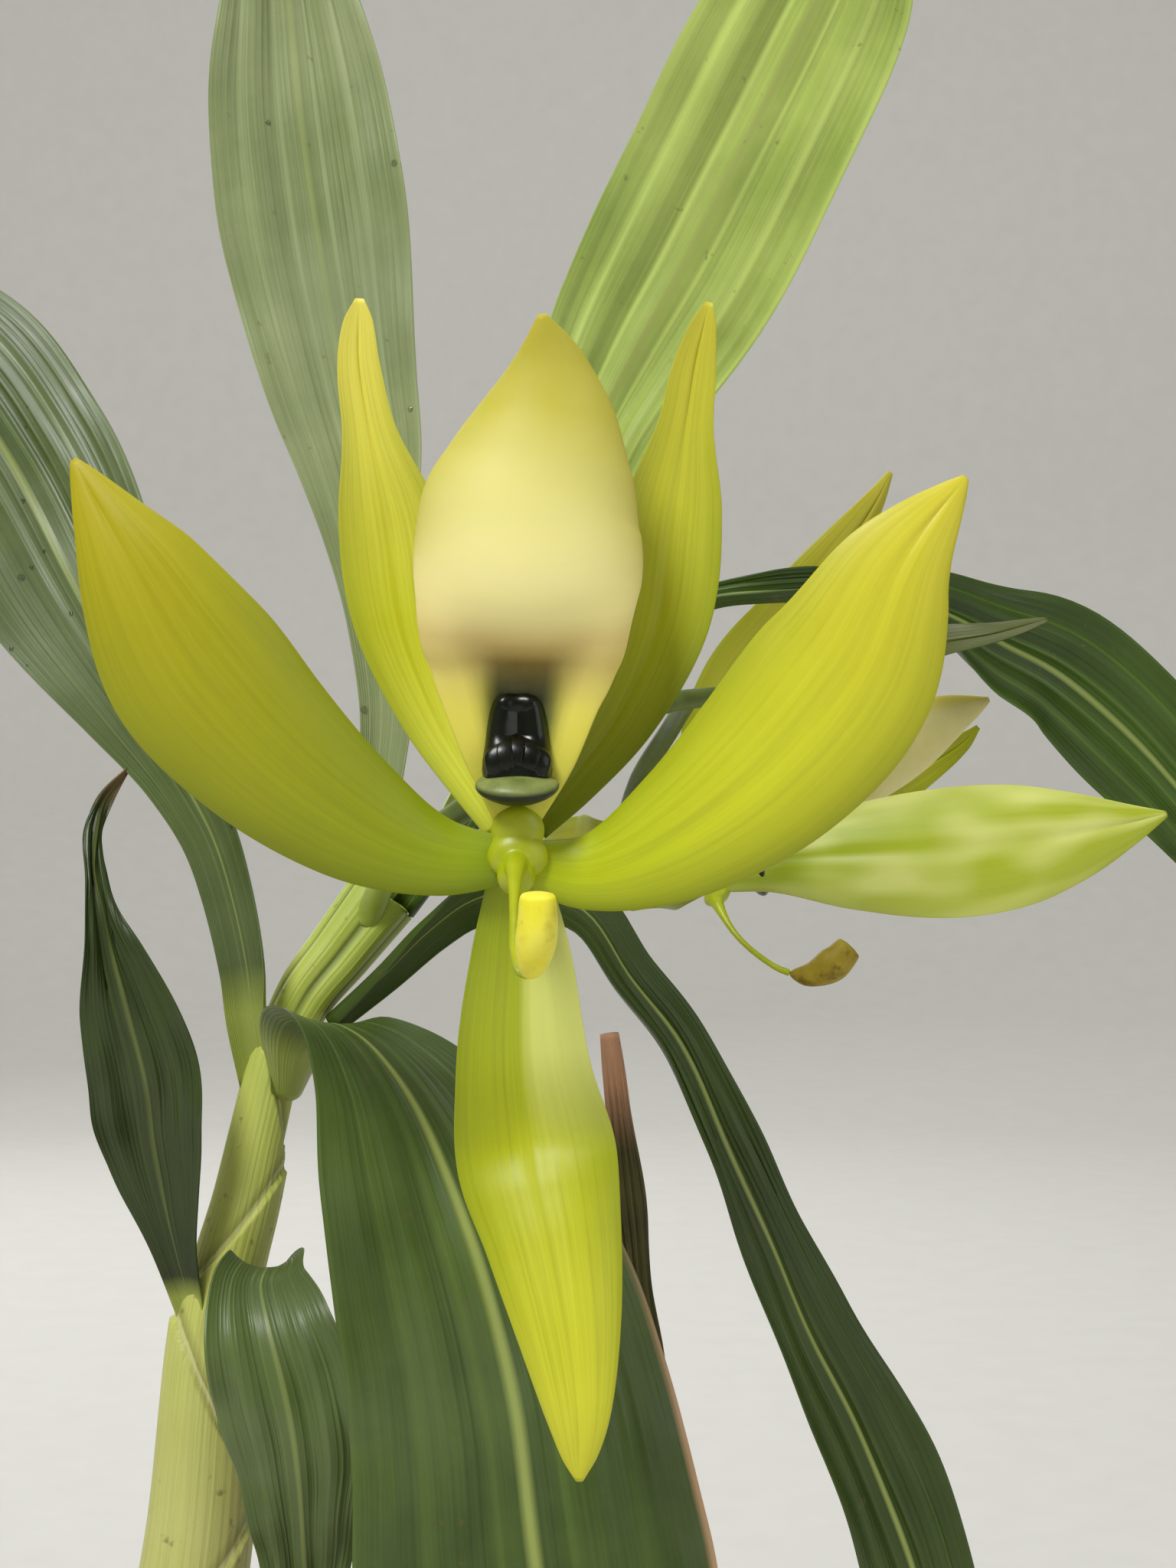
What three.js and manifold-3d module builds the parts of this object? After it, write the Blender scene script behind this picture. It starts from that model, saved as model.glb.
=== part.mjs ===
// A potted swan orchid: a plain clay pot of bark, one leafy cane, one old leafless bulb,
// and an arching stalk with two green flowers that carry their cream lip uppermost.
// Millimetres. +Z is up, -Y is the side the front flower faces, and the origin is the
// middle of the pot's flat underside.
import * as THREE from 'three';
import { mergeVertices } from 'three/addons/utils/BufferGeometryUtils.js';
import Module from 'manifold-3d';

const wasm = await Module();
wasm.setup();

// Driving dimensions of the pot and the bark
const POT_RIM_RADIUS = 66;
const POT_BASE_RADIUS = 46;
const POT_HEIGHT = 118;
const POT_WALL = 5;
const POT_FLOOR = 7;
const RIM_BAND_HEIGHT = 22;
const RIM_BAND_PROUD = 3.2;
const DRAIN_HOLES = 5;
const DRAIN_HOLE_RADIUS = 4.5;
const DRAIN_CIRCLE_RADIUS = 26;
const BARK_TOP = 104;
const BARK_CHIPS = 26;

// Clearance between pieces that touch, and the thinnest blade
const GAP = 0.3;
const THINNEST = 0.6;

// Sides of the turned pot, and the turn that spreads things evenly over a disc
const TURNED_SIDES = 36;
const GOLDEN_TURN = Math.PI * (3 - Math.sqrt(5));

// Random draws come from one seeded generator
let seed = 20117;
function draw(low, high) {
  seed = (seed * 1664525 + 1013904223) % 4294967296;
  return low + (high - low) * (seed / 4294967296);
}

const UP = new THREE.Vector3(0, 0, 1);

function vector(values) {
  return new THREE.Vector3(values[0], values[1], values[2]);
}

function curveThrough(points) {
  return new THREE.CatmullRomCurve3(points.map(vector), false, 'centripetal');
}

// A smooth function through [place, value] pairs
function profile(pairs) {
  const slopes = pairs.map((pair, i) => {
    const before = pairs[Math.max(i - 1, 0)];
    const after = pairs[Math.min(i + 1, pairs.length - 1)];
    return (after[1] - before[1]) / (after[0] - before[0]);
  });
  return (t) => {
    let i = 0;
    while (i < pairs.length - 2 && t > pairs[i + 1][0]) i += 1;
    const [start, low] = pairs[i];
    const [end, high] = pairs[i + 1];
    const span = end - start;
    const s = THREE.MathUtils.clamp((t - start) / span, 0, 1);
    const ease = s * s * (3 - 2 * s);
    const bend = s * (1 - s) * span;
    return low + (high - low) * ease + bend * ((1 - s) * slopes[i] - s * slopes[i + 1]);
  };
}

// Closed meshes as solids that can be joined and cut, and back
function solidOf(geometry) {
  const bare = geometry.clone();
  bare.deleteAttribute('normal');
  bare.deleteAttribute('uv');
  const merged = mergeVertices(bare, 1e-4);
  return new wasm.Manifold(new wasm.Mesh({
    numProp: 3,
    vertProperties: new Float32Array(merged.attributes.position.array),
    triVerts: new Uint32Array(merged.index.array),
  }));
}

function geometryOf(solid) {
  const mesh = solid.getMesh();
  const positions = [];
  for (let i = 0; i < mesh.vertProperties.length; i += mesh.numProp) {
    positions.push(mesh.vertProperties[i], mesh.vertProperties[i + 1], mesh.vertProperties[i + 2]);
  }
  const geometry = new THREE.BufferGeometry();
  geometry.setAttribute('position', new THREE.Float32BufferAttribute(positions, 3));
  geometry.setIndex(Array.from(mesh.triVerts));
  geometry.computeVertexNormals();
  return geometry;
}

function largestBody(solid) {
  const bodies = solid.decompose();
  return bodies.reduce((best, body) => (body.volume() > best.volume() ? body : best));
}

function indexedGeometry(points, triangles) {
  const geometry = new THREE.BufferGeometry();
  const positions = points.flatMap((p) => [p.x, p.y, p.z]);
  geometry.setAttribute('position', new THREE.Float32BufferAttribute(positions, 3));
  geometry.setIndex(triangles);
  return geometry;
}

// A closed skin over rings that all have the same number of points
function skin(rings) {
  const sides = rings[0].length;
  const points = rings.flat();
  const triangles = [];
  for (let i = 0; i < rings.length - 1; i += 1) {
    for (let j = 0; j < sides; j += 1) {
      const a = i * sides + j;
      const b = i * sides + (j + 1) % sides;
      triangles.push(a, b, a + sides, b, b + sides, a + sides);
    }
  }
  for (const [ring, first] of [[0, true], [rings.length - 1, false]]) {
    const middle = new THREE.Vector3();
    rings[ring].forEach((p) => middle.addScaledVector(p, 1 / sides));
    points.push(middle);
    for (let j = 0; j < sides; j += 1) {
      const a = ring * sides + j;
      const b = ring * sides + (j + 1) % sides;
      triangles.push(...(first ? [b, a, points.length - 1] : [a, b, points.length - 1]));
    }
  }
  return indexedGeometry(points, triangles);
}

// A stem along a curve. The radius may vary along it and round it.
function stem({ path, radius, sides, steps, across = UP }) {
  const curve = curveThrough(path);
  const rings = [];
  for (let i = 0; i <= steps; i += 1) {
    const t = i / steps;
    const centre = curve.getPointAt(t);
    const along = curve.getTangentAt(t);
    const side = new THREE.Vector3().crossVectors(across, along).normalize();
    const top = new THREE.Vector3().crossVectors(along, side);
    const ring = [];
    for (let j = 0; j < sides; j += 1) {
      const angle = (2 * Math.PI * j) / sides;
      const r = radius(t, angle);
      const point = centre.clone();
      point.addScaledVector(side, r * Math.cos(angle));
      point.addScaledVector(top, r * Math.sin(angle));
      ring.push(point);
    }
    rings.push(ring);
  }
  return skin(rings);
}

// A blade: a midline, half widths along it, the way its upper face looks, and its section.
// curl bends the section to an arc, keel folds it at the midline, pleat ripples it,
// and wave lifts the margins in and out along the blade.
function blade({
  spine, facing, width, thickness, stations = 14, columns = 8,
  curl = () => 0, keel = () => 0, pleat = () => 0, pleats = 4, wave = () => 0, grow = 0,
}) {
  const curve = curveThrough(spine);
  const faceX = profile(facing.map(([t, v]) => [t, v[0]]));
  const faceY = profile(facing.map(([t, v]) => [t, v[1]]));
  const faceZ = profile(facing.map(([t, v]) => [t, v[2]]));
  const middle = [];
  for (let i = 0; i <= stations; i += 1) {
    const t = i / stations;
    const centre = curve.getPointAt(t);
    const along = curve.getTangentAt(t);
    const hint = new THREE.Vector3(faceX(t), faceY(t), faceZ(t));
    const side = new THREE.Vector3().crossVectors(along, hint).normalize();
    const face = new THREE.Vector3().crossVectors(side, along).normalize();
    const half = Math.max(width(t), 0.5) + grow;
    const row = [];
    for (let j = 0; j <= columns; j += 1) {
      const u = (2 * j) / columns - 1;
      const bend = curl(t) + 1e-6;
      const out = (half * Math.sin(u * bend)) / bend;
      const rise = (half * (1 - Math.cos(u * bend))) / bend;
      const fold = Math.abs(out) * keel(t);
      const ripple = pleat(t) * Math.cos(Math.PI * pleats * u) * (1 - u * u);
      const point = centre.clone();
      point.addScaledVector(side, out);
      point.addScaledVector(face, rise + fold + ripple + wave(t, u));
      row.push(point);
    }
    middle.push(row);
  }
  return thicken(middle, (t, u) => Math.max(thickness(t, u), THINNEST) + 2 * grow);
}

// Gives a grid of points its thickness, with the same triangles on both faces
function thicken(middle, thickness) {
  const stations = middle.length - 1;
  const columns = middle[0].length - 1;
  const upper = [];
  const lower = [];
  for (let i = 0; i <= stations; i += 1) {
    for (let j = 0; j <= columns; j += 1) {
      const along = middle[Math.min(i + 1, stations)][j].clone().sub(middle[Math.max(i - 1, 0)][j]);
      const side = middle[i][Math.min(j + 1, columns)].clone().sub(middle[i][Math.max(j - 1, 0)]);
      const normal = new THREE.Vector3().crossVectors(side, along).normalize();
      const half = thickness(i / stations, (2 * j) / columns - 1) / 2;
      upper.push(middle[i][j].clone().addScaledVector(normal, half));
      lower.push(middle[i][j].clone().addScaledVector(normal, -half));
    }
  }
  const count = upper.length;
  const triangles = [];
  const row = columns + 1;
  for (let i = 0; i < stations; i += 1) {
    for (let j = 0; j < columns; j += 1) {
      const a = i * row + j;
      const b = a + 1;
      const c = a + row;
      const d = c + 1;
      triangles.push(a, b, c, b, d, c);
      triangles.push(count + a, count + c, count + b, count + b, count + c, count + d);
    }
  }
  const rim = [];
  for (let j = 0; j < columns; j += 1) rim.push(j);
  for (let i = 0; i < stations; i += 1) rim.push(i * row + columns);
  for (let j = columns; j > 0; j -= 1) rim.push(stations * row + j);
  for (let i = stations; i > 0; i -= 1) rim.push(i * row);
  rim.forEach((a, k) => {
    const b = rim[(k + 1) % rim.length];
    triangles.push(a, count + a, b, b, count + a, count + b);
  });
  return indexedGeometry([...upper, ...lower], triangles);
}

const part = new THREE.Group();

function material(colour, roughness) {
  return new THREE.MeshStandardMaterial({ color: colour, roughness, metalness: 0 });
}

const CLAY = material(0xb5674a, 0.85);
const BARK = material(0x5b3d28, 0.9);
const CANE = material(0x9a9c63, 0.6);
const OLD_BULB = material(0x6d6442, 0.75);
const PAPER = material(0x9a8a6c, 0.9);
const LEAF = material(0x46602a, 0.5);
const STALK = material(0x4c6a2a, 0.5);
const TEPAL = material(0xb9bd35, 0.45);
const LIP = material(0xdfd48e, 0.45);
const CALLUS = material(0x0b1204, 0.15);
const COLUMN = material(0xa9b52c, 0.4);
const CAP = material(0xe0d344, 0.4);

function place(name, solid, finish) {
  const mesh = new THREE.Mesh(geometryOf(solid), finish);
  mesh.name = name;
  part.add(mesh);
}

// The pot
function wallRadius(z) {
  return POT_BASE_RADIUS + ((POT_RIM_RADIUS - RIM_BAND_PROUD - POT_BASE_RADIUS) * z) / POT_HEIGHT;
}

function lathed(outline) {
  const geometry = new THREE.LatheGeometry(outline.map(([r, z]) => new THREE.Vector2(r, z)), TURNED_SIDES);
  return solidOf(geometry.rotateX(Math.PI / 2));
}

function makePot() {
  const bandBottom = POT_HEIGHT - RIM_BAND_HEIGHT;
  const soften = 1.5;
  let pot = lathed([
    [0, 0],
    [POT_BASE_RADIUS - soften, 0],
    [POT_BASE_RADIUS, soften],
    [wallRadius(bandBottom), bandBottom],
    [wallRadius(bandBottom) + RIM_BAND_PROUD, bandBottom + soften],
    [POT_RIM_RADIUS, POT_HEIGHT - soften],
    [POT_RIM_RADIUS - soften, POT_HEIGHT],
    [wallRadius(POT_HEIGHT) - POT_WALL + soften, POT_HEIGHT],
    [wallRadius(POT_HEIGHT) - POT_WALL, POT_HEIGHT - soften],
    [wallRadius(POT_FLOOR) - POT_WALL, POT_FLOOR],
    [0, POT_FLOOR],
  ]);
  for (let k = 0; k < DRAIN_HOLES; k += 1) {
    const angle = (2 * Math.PI * (k + 0.25)) / DRAIN_HOLES;
    const hole = new THREE.CylinderGeometry(DRAIN_HOLE_RADIUS, DRAIN_HOLE_RADIUS, 3 * POT_FLOOR, 12);
    hole.rotateX(Math.PI / 2);
    hole.translate(DRAIN_CIRCLE_RADIUS * Math.cos(angle), DRAIN_CIRCLE_RADIUS * Math.sin(angle), 0);
    pot = pot.subtract(solidOf(hole));
  }
  return pot;
}

// The leafy cane: a slim bulb wrapped in sheaths that ends in the folded leaf bases
const CANE_PATH = [
  [-43, 0, 72], [-38, 0, 120], [-31, 0, 160], [-25.5, 0, 192], [-22, 0, 229], [-18, 0, 245],
  [-15.3, 0, 257], [-12.5, 0, 268], [-8.5, 0.5, 276.5], [-3.5, 2, 283], [3, 4, 291.5],
];
const CANE_RADIUS = profile([
  [0, 6], [0.14, 9], [0.32, 9.2], [0.5, 7.8], [0.66, 6.9], [0.78, 5.9], [0.86, 5.6], [0.93, 6.3], [1, 7.2],
]);
// Each sheath ends on a slanting edge: how far up the cane, which way it is lowest, how slanted
const SHEATHS = [
  { top: 0.36, turn: 0.4, slant: 0.05 },
  { top: 0.5, turn: 3.4, slant: 0.055 },
  { top: 0.63, turn: 0.2, slant: 0.055 },
  { top: 0.745, turn: 3.2, slant: 0.05 },
  { top: 0.84, turn: 0.5, slant: 0.04 },
];
const SHEATH_STEP = 0.7;

function caneRadius(t, angle) {
  let r = CANE_RADIUS(t);
  for (const { top, turn, slant } of SHEATHS) {
    const edge = top - slant * Math.cos(angle - turn);
    r += SHEATH_STEP * (THREE.MathUtils.smoothstep(edge - t, -0.008, 0.012) - 0.5);
  }
  return r;
}

function makeCane(grow) {
  return solidOf(stem({
    path: CANE_PATH, sides: 12, steps: 34, across: new THREE.Vector3(0, 1, 0),
    radius: (t, angle) => caneRadius(t, angle) + grow,
  }));
}

// The old bulb, bare and ringed where its leaves fell
const OLD_BULB_PATH = [
  [35, 20, 74], [38, 21, 110], [42, 23, 150], [44.5, 25, 200],
  [43, 25.5, 228], [41, 25.5, 247], [38.5, 25, 268],
];
const OLD_BULB_RADIUS = profile([
  [0, 6], [0.22, 9], [0.42, 8], [0.6, 4.6], [0.78, 2.4], [0.94, 2.1], [1, 1.2],
]);
const OLD_BULB_RINGS = 7;

function makeOldBulb(grow) {
  return solidOf(stem({
    path: OLD_BULB_PATH, sides: 10, steps: 22, across: new THREE.Vector3(0, 1, 0),
    radius: (t) => OLD_BULB_RADIUS(t) + grow + 0.35 * Math.cos(2 * Math.PI * OLD_BULB_RINGS * t),
  }));
}

// A torn dry sheath that still wraps part of the old bulb and flares out at its torn top
const DRY_SHEATH = { from: 0.28, long: 0.27, ragged: 0.03, wrap: 1.9, clear: 1.4, flare: 1.6, ripple: 0.5 };

function makeDrySheath(bulbClear) {
  const rows = [];
  const stations = 9;
  const columns = 8;
  const curve = curveThrough(OLD_BULB_PATH);
  for (let i = 0; i <= stations; i += 1) {
    const s = i / stations;
    const row = [];
    for (let j = 0; j <= columns; j += 1) {
      const u = (2 * j) / columns - 1;
      const t = DRY_SHEATH.from + DRY_SHEATH.long * s + DRY_SHEATH.ragged * Math.cos(5 * u) * s;
      const centre = curve.getPointAt(t);
      const angle = -Math.PI / 2 + DRY_SHEATH.wrap * u;
      const lift = DRY_SHEATH.clear + DRY_SHEATH.flare * s * s + DRY_SHEATH.ripple * Math.sin(7 * u + 2 * s);
      const r = OLD_BULB_RADIUS(t) + lift;
      row.push(new THREE.Vector3(centre.x + r * Math.cos(angle), centre.y + r * Math.sin(angle), centre.z));
    }
    rows.push(row);
  }
  return largestBody(solidOf(thicken(rows, () => THINNEST)).subtract(bulbClear));
}

// The bark: a filled body with loose-looking chips standing out of its top
function makeBark(holes) {
  const clear = POT_WALL + 2 * GAP;
  const bottom = POT_FLOOR + GAP;
  const edgeDrop = 2;
  const crownRadius = 38;
  const chipMargin = 9;
  const chipTilt = 0.35;
  let bark = lathed([
    [0, bottom],
    [wallRadius(bottom) - clear, bottom],
    [wallRadius(BARK_TOP - edgeDrop) - clear, BARK_TOP - edgeDrop],
    [crownRadius, BARK_TOP],
    [0, BARK_TOP + 1],
  ]);
  const reach = wallRadius(BARK_TOP) - clear - chipMargin;
  for (let k = 0; k < BARK_CHIPS; k += 1) {
    const angle = k * GOLDEN_TURN;
    const distance = reach * Math.sqrt((k + 0.5) / BARK_CHIPS);
    const chip = new THREE.BoxGeometry(draw(12, 20), draw(8, 13), draw(4, 7));
    chip.rotateX(draw(-chipTilt, chipTilt));
    chip.rotateY(draw(-chipTilt, chipTilt));
    chip.rotateZ(draw(0, Math.PI));
    chip.translate(distance * Math.cos(angle), distance * Math.sin(angle), BARK_TOP + draw(0.5, 2.2));
    bark = bark.add(solidOf(chip));
  }
  for (const hole of holes) bark = bark.subtract(hole);
  const room = lathed([
    [0, 0],
    [wallRadius(0) - clear, 0],
    [wallRadius(POT_HEIGHT) - clear, POT_HEIGHT],
    [0, POT_HEIGHT],
  ]);
  return largestBody(bark.intersect(room));
}

// The leaves. Spines run from the cane to the tip. Half widths and section are given
// at places from 0, the base, to 1, the tip.
const LEAVES = [
  {
    name: 'leaf_upper_left',
    spine: [[-14.4, -1, 263], [-15.9, -4, 273], [-16.5, -6, 281], [-18.9, -6, 292], [-22, -5, 301],
      [-27, -4, 310], [-33.5, -2, 320.5], [-45, 3, 340.5], [-56.5, 9, 360], [-70, 13, 378], [-90, 16, 392],
      [-110, 17, 399], [-126, 16, 396]],
    facing: [[0, [-0.5, -0.8, 0.3]], [0.4, [-0.1, -1, 0.1]], [0.7, [0.3, -0.8, 0.5]], [1, [0.2, -0.5, 0.9]]],
    width: [[0, 4.6], [0.1, 4.8], [0.2, 5.2], [0.26, 6.2], [0.32, 8.8], [0.44, 14.8], [0.56, 16.5],
      [0.68, 15.5], [0.81, 11.5], [0.92, 6], [1, 0.6]],
    curl: [[0, 1.5], [0.12, 1], [0.25, 0.8], [0.45, 0.25], [1, 0.15]],
    pleat: 0.9,
  },
  {
    name: 'leaf_upper',
    spine: [[0.8, 5.5, 290], [1.3, 7, 298], [2.6, 8, 308], [3.6, 9, 320], [2.8, 10, 333], [1.2, 11, 347],
      [-1, 12, 360.5], [-4, 13, 373], [-7.6, 14, 392], [-11, 15, 415], [-13, 15, 435], [-15, 12, 455],
      [-19, 3, 473]],
    facing: [[0, [-0.2, -1, 0]], [0.5, [0, -1, 0]], [1, [0.1, -1, 0.3]]],
    width: [[0, 4], [0.1, 4.6], [0.23, 6], [0.31, 8], [0.385, 10.6], [0.45, 12.4], [0.555, 14.8],
      [0.61, 15.2], [0.705, 14], [0.79, 10.6], [0.89, 5.6], [0.96, 2.6], [1, 0.6]],
    curl: [[0, 1.6], [0.2, 1], [0.4, 0.35], [1, 0.2]],
    pleat: 0.8,
  },
  {
    name: 'leaf_upper_right',
    spine: [[4.5, 7, 290], [9.5, 9.5, 296], [17.5, 14, 310], [25, 18, 328.5], [32, 21, 353], [36.5, 21, 367],
      [42.6, 20, 379], [50.5, 17, 392.5], [58, 13, 406.5], [71, 3, 431], [79, -6, 446], [88, -18, 459]],
    facing: [[0, [0.3, -1, 0.3]], [0.5, [0, -1, 0]], [1, [-0.2, -1, 0.2]]],
    width: [[0, 3.5], [0.14, 4.2], [0.22, 5], [0.355, 9], [0.425, 12], [0.5, 15], [0.575, 16.6], [0.65, 16.8],
      [0.81, 15.4], [0.9, 9.5], [0.96, 4.2], [1, 0.6]],
    curl: [[0, 1.6], [0.2, 1], [0.4, 0.3], [1, 0.2]],
    pleat: 1.2,
  },
  {
    name: 'leaf_right',
    spine: [[7, 2.5, 289.5], [15, 0, 300], [25, -2, 313], [35, -6, 325], [45, -9, 333], [54, -10, 336.3],
      [62, -10, 337.2], [70, -7, 337.7], [79, 1, 338], [86, 8, 337.2], [92.6, 13, 335.2], [101.6, 18, 331],
      [112, 21, 326], [127, 20, 312], [139, 16, 295], [145, 12, 277]],
    facing: [[0, [-0.4, -0.9, 0.3]], [0.35, [-0.2, -0.6, 0.8]], [0.6, [0, -0.9, 0.45]],
      [1, [0.3, -0.9, 0.2]]],
    width: [[0, 3.2], [0.2, 3.2], [0.4, 3.2], [0.47, 4.4], [0.53, 6.5], [0.6, 9], [0.67, 11.6], [0.78, 11.8],
      [0.88, 9], [0.95, 4], [1, 0.6]],
    curl: [[0, 1.6], [0.4, 1.4], [0.52, 0.5], [0.7, 0.25], [1, 0.2]],
    pleat: 0.8,
  },
  {
    name: 'leaf_lower_left',
    spine: [[-24.5, -2, 226], [-27.6, -7, 240], [-30, -11, 255], [-31, -14, 266], [-34, -15, 277],
      [-37.4, -14, 289], [-39.4, -11, 298], [-39, -8, 305.5], [-35.3, -4, 311.5]],
    facing: [[0, [-0.5, -0.8, 0.2]], [0.5, [0.1, -1, 0.1]], [0.8, [0.6, -0.7, 0.2]], [1, [0.9, 0.2, 0.4]]],
    width: [[0, 3.2], [0.15, 4.2], [0.305, 7.4], [0.44, 8.4], [0.57, 7], [0.715, 3], [0.82, 2], [0.92, 1.6],
      [1, 0.6]],
    curl: [[0, 1.3], [0.2, 0.5], [0.6, 0.3], [1, 1]],
    pleat: 0.6,
    pleats: 3,
  },
  {
    name: 'leaf_arching',
    spine: [[-10.5, -2.5, 261], [-8, -8.4, 268.3], [-4.5, -13, 272.6], [1, -18.5, 271.5], [8, -26, 265],
      [14.5, -33, 254], [20, -37, 240], [24.5, -38, 223], [27.3, -38, 202], [30, -36, 179], [31, -32, 156]],
    facing: [[0, [-0.2, 0, 0.9]], [0.12, [0.2, 0, 1]], [0.25, [0.45, -0.5, 0.8]], [0.4, [0.2, -0.9, 0.5]],
      [1, [0.1, -1, 0.1]]],
    width: [[0, 3.4], [0.04, 5], [0.085, 8.4], [0.13, 11.4], [0.25, 16.5], [0.4, 20.5], [0.6, 24],
      [0.78, 25.5], [0.9, 17], [0.97, 7], [1, 0.8]],
    curl: [[0, 1.2], [0.06, 0.8], [0.12, 0.45], [0.2, 0.3], [0.4, -0.3], [1, -0.2]],
    pleat: 1.2,
    pleats: 5,
    stations: 20,
    columns: 10,
  },
  {
    name: 'leaf_lower_front',
    spine: [[-18, -3, 222], [-15, -8, 232], [-12.8, -13.5, 236.3], [-13, -19, 234.7], [-11.2, -24, 230],
      [-8.6, -26, 221.6], [-6.8, -26, 212.4], [-6.3, -24.5, 202.7], [-6.2, -22, 194.9], [-6.5, -18, 180],
      [-7, -14, 166]],
    facing: [[0, [0, 0.3, 1]], [0.2, [0, -0.1, 1]], [0.32, [-0.1, -0.8, 0.6]], [0.45, [-0.1, -1, 0.1]],
      [1, [-0.1, -1, 0]]],
    width: [[0, 3], [0.1, 4.4], [0.19, 6.6], [0.25, 7.6], [0.32, 9.2], [0.42, 10.7], [0.51, 10.2],
      [0.61, 8.2], [0.7, 6.7], [0.85, 4.4], [0.95, 2], [1, 0.6]],
    curl: [[0, 1.3], [0.2, 1.1], [0.32, 0.3], [0.45, -0.2], [1, -0.2]],
    stations: 16,
    pleat: 0.7,
  },
  {
    name: 'leaf_hanging_right',
    spine: [[-4.8, -0.5, 272.8], [3.2, -1.5, 280], [10.5, -3, 287], [17, -5, 291.5], [25, -6, 293], [34, -4, 289.5],
      [41, 0, 279], [48.5, 2, 269], [56, 5, 253], [63.3, 7, 236.5], [69.5, 8, 222], [77, 9, 207],
      [84, 10, 190.5], [90, 11.5, 172], [95, 12, 156], [98, 11, 141]],
    facing: [[0, [0.7, -0.3, -0.5]], [0.1, [0.6, -0.6, -0.3]], [0.3, [0.5, -0.8, 0.4]],
      [0.6, [0.5, -0.8, 0.2]], [1, [0.2, -1, 0.2]]],
    width: [[0, 3.4], [0.15, 5], [0.3, 5.2], [0.42, 5.4], [0.5, 6.6], [0.58, 8.4], [0.66, 9.8],
      [0.8, 9.6], [0.92, 5.4], [1, 0.6]],
    curl: [[0, 1.6], [0.2, 0.9], [0.5, 0.6], [1, 0.2]],
    pleat: 0.7,
  },
];

function leafBlade(leaf, grow = 0) {
  const { smoothstep } = THREE.MathUtils;
  const open = (t) => smoothstep(t, 0.15, 0.45) * (1 - smoothstep(t, 0.85, 1));
  return solidOf(blade({
    spine: leaf.spine,
    facing: leaf.facing,
    width: profile(leaf.width),
    curl: profile(leaf.curl),
    keel: (t) => 0.12 * open(t),
    pleat: (t) => leaf.pleat * open(t),
    pleats: leaf.pleats ?? 4,
    wave: (t, u) => 0.8 * open(t) * u * u * Math.sin(19 * t + (u > 0 ? 1.7 : 0)),
    thickness: (t, u) => 0.8 + 0.7 * (1 - t) * (1 - Math.abs(u)),
    stations: leaf.stations ?? 13,
    columns: leaf.columns ?? 8,
    grow,
  }));
}

// The flower stalk: one rachis from the cane's side, and one curved stalk to each flower
const RACHIS = [[1, 0, 288], [4, -5, 294.5], [9, -13, 299.5], [18, -24, 306], [32, -29, 314], [44, -24, 320],
  [53, -12, 322], [58, -4, 322.5]];

function makeStalk(caneClear, flowers) {
  let stalk = solidOf(stem({
    path: RACHIS, sides: 8, steps: 16, across: new THREE.Vector3(0, 1, 0.2),
    radius: (t) => 2.1 - 0.7 * t,
  }));
  for (const flower of flowers) {
    const [x, y, z] = flower.hubOut;
    const out = new THREE.Vector3(x, -z, y).normalize();
    const seat = vector(flower.centre).addScaledVector(out, -flower.size * HUB_BACK - GAP);
    const run = seat.clone().addScaledVector(out, -6);
    stalk = stalk.add(solidOf(stem({
      path: [...flower.stalk, run.toArray(), seat.toArray()], sides: 8, steps: 10,
      across: new THREE.Vector3(0.3, 0.4, 1),
      radius: (t) => 1.4 + 0.5 * t,
    })));
  }
  return largestBody(stalk.subtract(caneClear));
}

// The flowers. In a flower's own frame x runs right, y up and z out towards the viewer,
// from the middle of its hub.
const HUB_RADIUS = 3.4;
const HUB_TAPER = 1;
const HUB_BACK = 5.2;
const HUB_FRONT = 3;

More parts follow.
